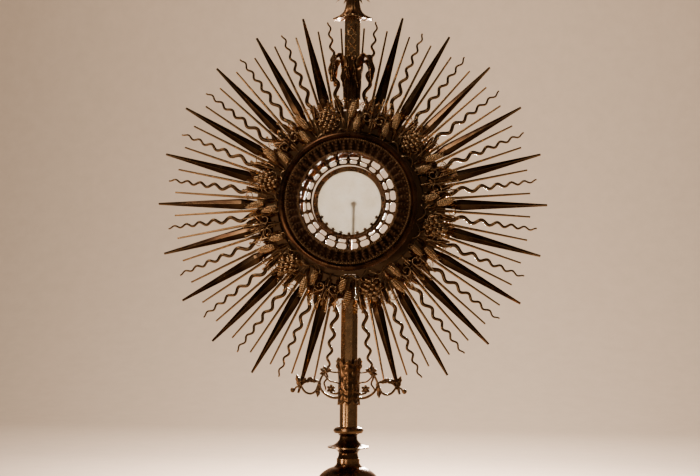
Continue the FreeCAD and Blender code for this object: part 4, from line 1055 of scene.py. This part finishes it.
# ---------------------------------------------------------------- foot
def build_foot_beads():
    """Beads in the foot's cove."""
    low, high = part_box("foot_beaded_wire")
    radius, count = 2 * MM, 160
    mesh = bmesh.new()
    for k in range(count):
        spot = polar(high.x - radius, TAU * k / count, (low.z + high.z) / 2)
        ball(mesh, spot, radius, 12, 8)
    finish_piece("foot_beads", mesh, "foot_brass", "stand", ["foot_beaded_wire"])


def build_all():
    build_wavy_rays()
    build_leaves()
    build_ears()
    build_grapes()
    build_tendrils()
    build_bracts()
    build_beads()
    build_leaf_band()
    build_gallery()
    build_crescent()
    build_stem_leaves()
    build_scrolls()
    build_column_lattice()
    build_palmette()
    build_canopy()
    build_cross()
    build_foot_beads()
    thicken("rays_thin", 0.5 * MM)
    soften("rays_large", 0.25 * MM)
    for node, width in (("door_frame", 0.4), ("lunette_ring", 0.3), ("cross_glory", 0.2),
                        ("latch_lever", 0.4), ("latch_bracket", 0.3), ("lunette_handle", 0.3),
                        ("stem_upper", 0.4), ("top_column", 0.5)):
        soften(node, width * MM)


build_all()


# ---------------------------------------------------------------- floor and light
def build_floor():
    material = Nodes("pale_floor")
    grain = material.noise(18, 4, 0.6)
    colour = material.ramp(grain, [(0.3, (0.60, 0.49, 0.385)), (0.7, (0.64, 0.525, 0.415))])
    material.link(colour, material.shader.inputs["Base Color"])
    material.shader.inputs["Roughness"].default_value = 0.9
    mesh = bmesh.new()
    bend, back, half, steps = 2.0, 5.2, 7.0, 24
    profile = [(-7.0, 0.0), (back - bend, 0.0)]
    profile += [(back - bend + bend * math.sin(math.pi / 2 * k / steps),
                 bend - bend * math.cos(math.pi / 2 * k / steps)) for k in range(1, steps + 1)]
    profile.append((back, 6.0))
    rows = [[mesh.verts.new((x, y, z)) for y, z in profile] for x in (-half, half)]
    bridge(mesh, rows, closed=False)
    data = bpy.data.meshes.new("floor")
    mesh.to_mesh(data)
    mesh.free()
    data.materials.append(material.material)
    data.shade_smooth()
    floor = bpy.data.objects.new("floor", data)
    bpy.context.scene.collection.objects.link(floor)


def lamp(name, position, target, size, power, colour):
    """A square lamp aimed at target."""
    data = bpy.data.lights.new(name, "AREA")
    data.size, data.energy, data.color = size, power, colour
    item = bpy.data.objects.new(name, data)
    bpy.context.scene.collection.objects.link(item)
    turn = (Vector(target) - Vector(position)).to_track_quat("-Z", "Y").to_matrix().to_4x4()
    item.matrix_world = Matrix.Translation(position) @ turn
    item.visible_camera = False


def build_light():
    world = bpy.data.worlds.new("studio")
    world.use_nodes = True
    world.node_tree.nodes["Background"].inputs[0].default_value = (0.80, 0.68, 0.56, 1)
    world.node_tree.nodes["Background"].inputs[1].default_value = 0.10
    bpy.context.scene.world = world
    lamp("key", (-1.5, -0.9, -0.05), CENTRE, 0.35, 11, (1.0, 0.80, 0.62))
    lamp("low_fill", (-0.6, -1.7, 0.05), CENTRE, 0.3, 2.6, (1.0, 0.82, 0.66))
    lamp("top", (-0.7, -0.5, 1.9), CENTRE, 0.5, 6, (1.0, 0.88, 0.74))
    lamp("back_glow", (0.0, 1.3, 0.75), (0, 3.0, 0.0), 0.9, 120, (1.0, 0.84, 0.72))
    lamp("back_wash", (0.0, 2.2, 1.6), (0, 5.2, 1.6), 1.6, 55, (1.0, 0.84, 0.66))
    lamp("behind_host", (0.03, 1.0, CENTRE.z), CENTRE, 0.16, 18, (1.0, 0.92, 0.82))


build_floor()
build_light()
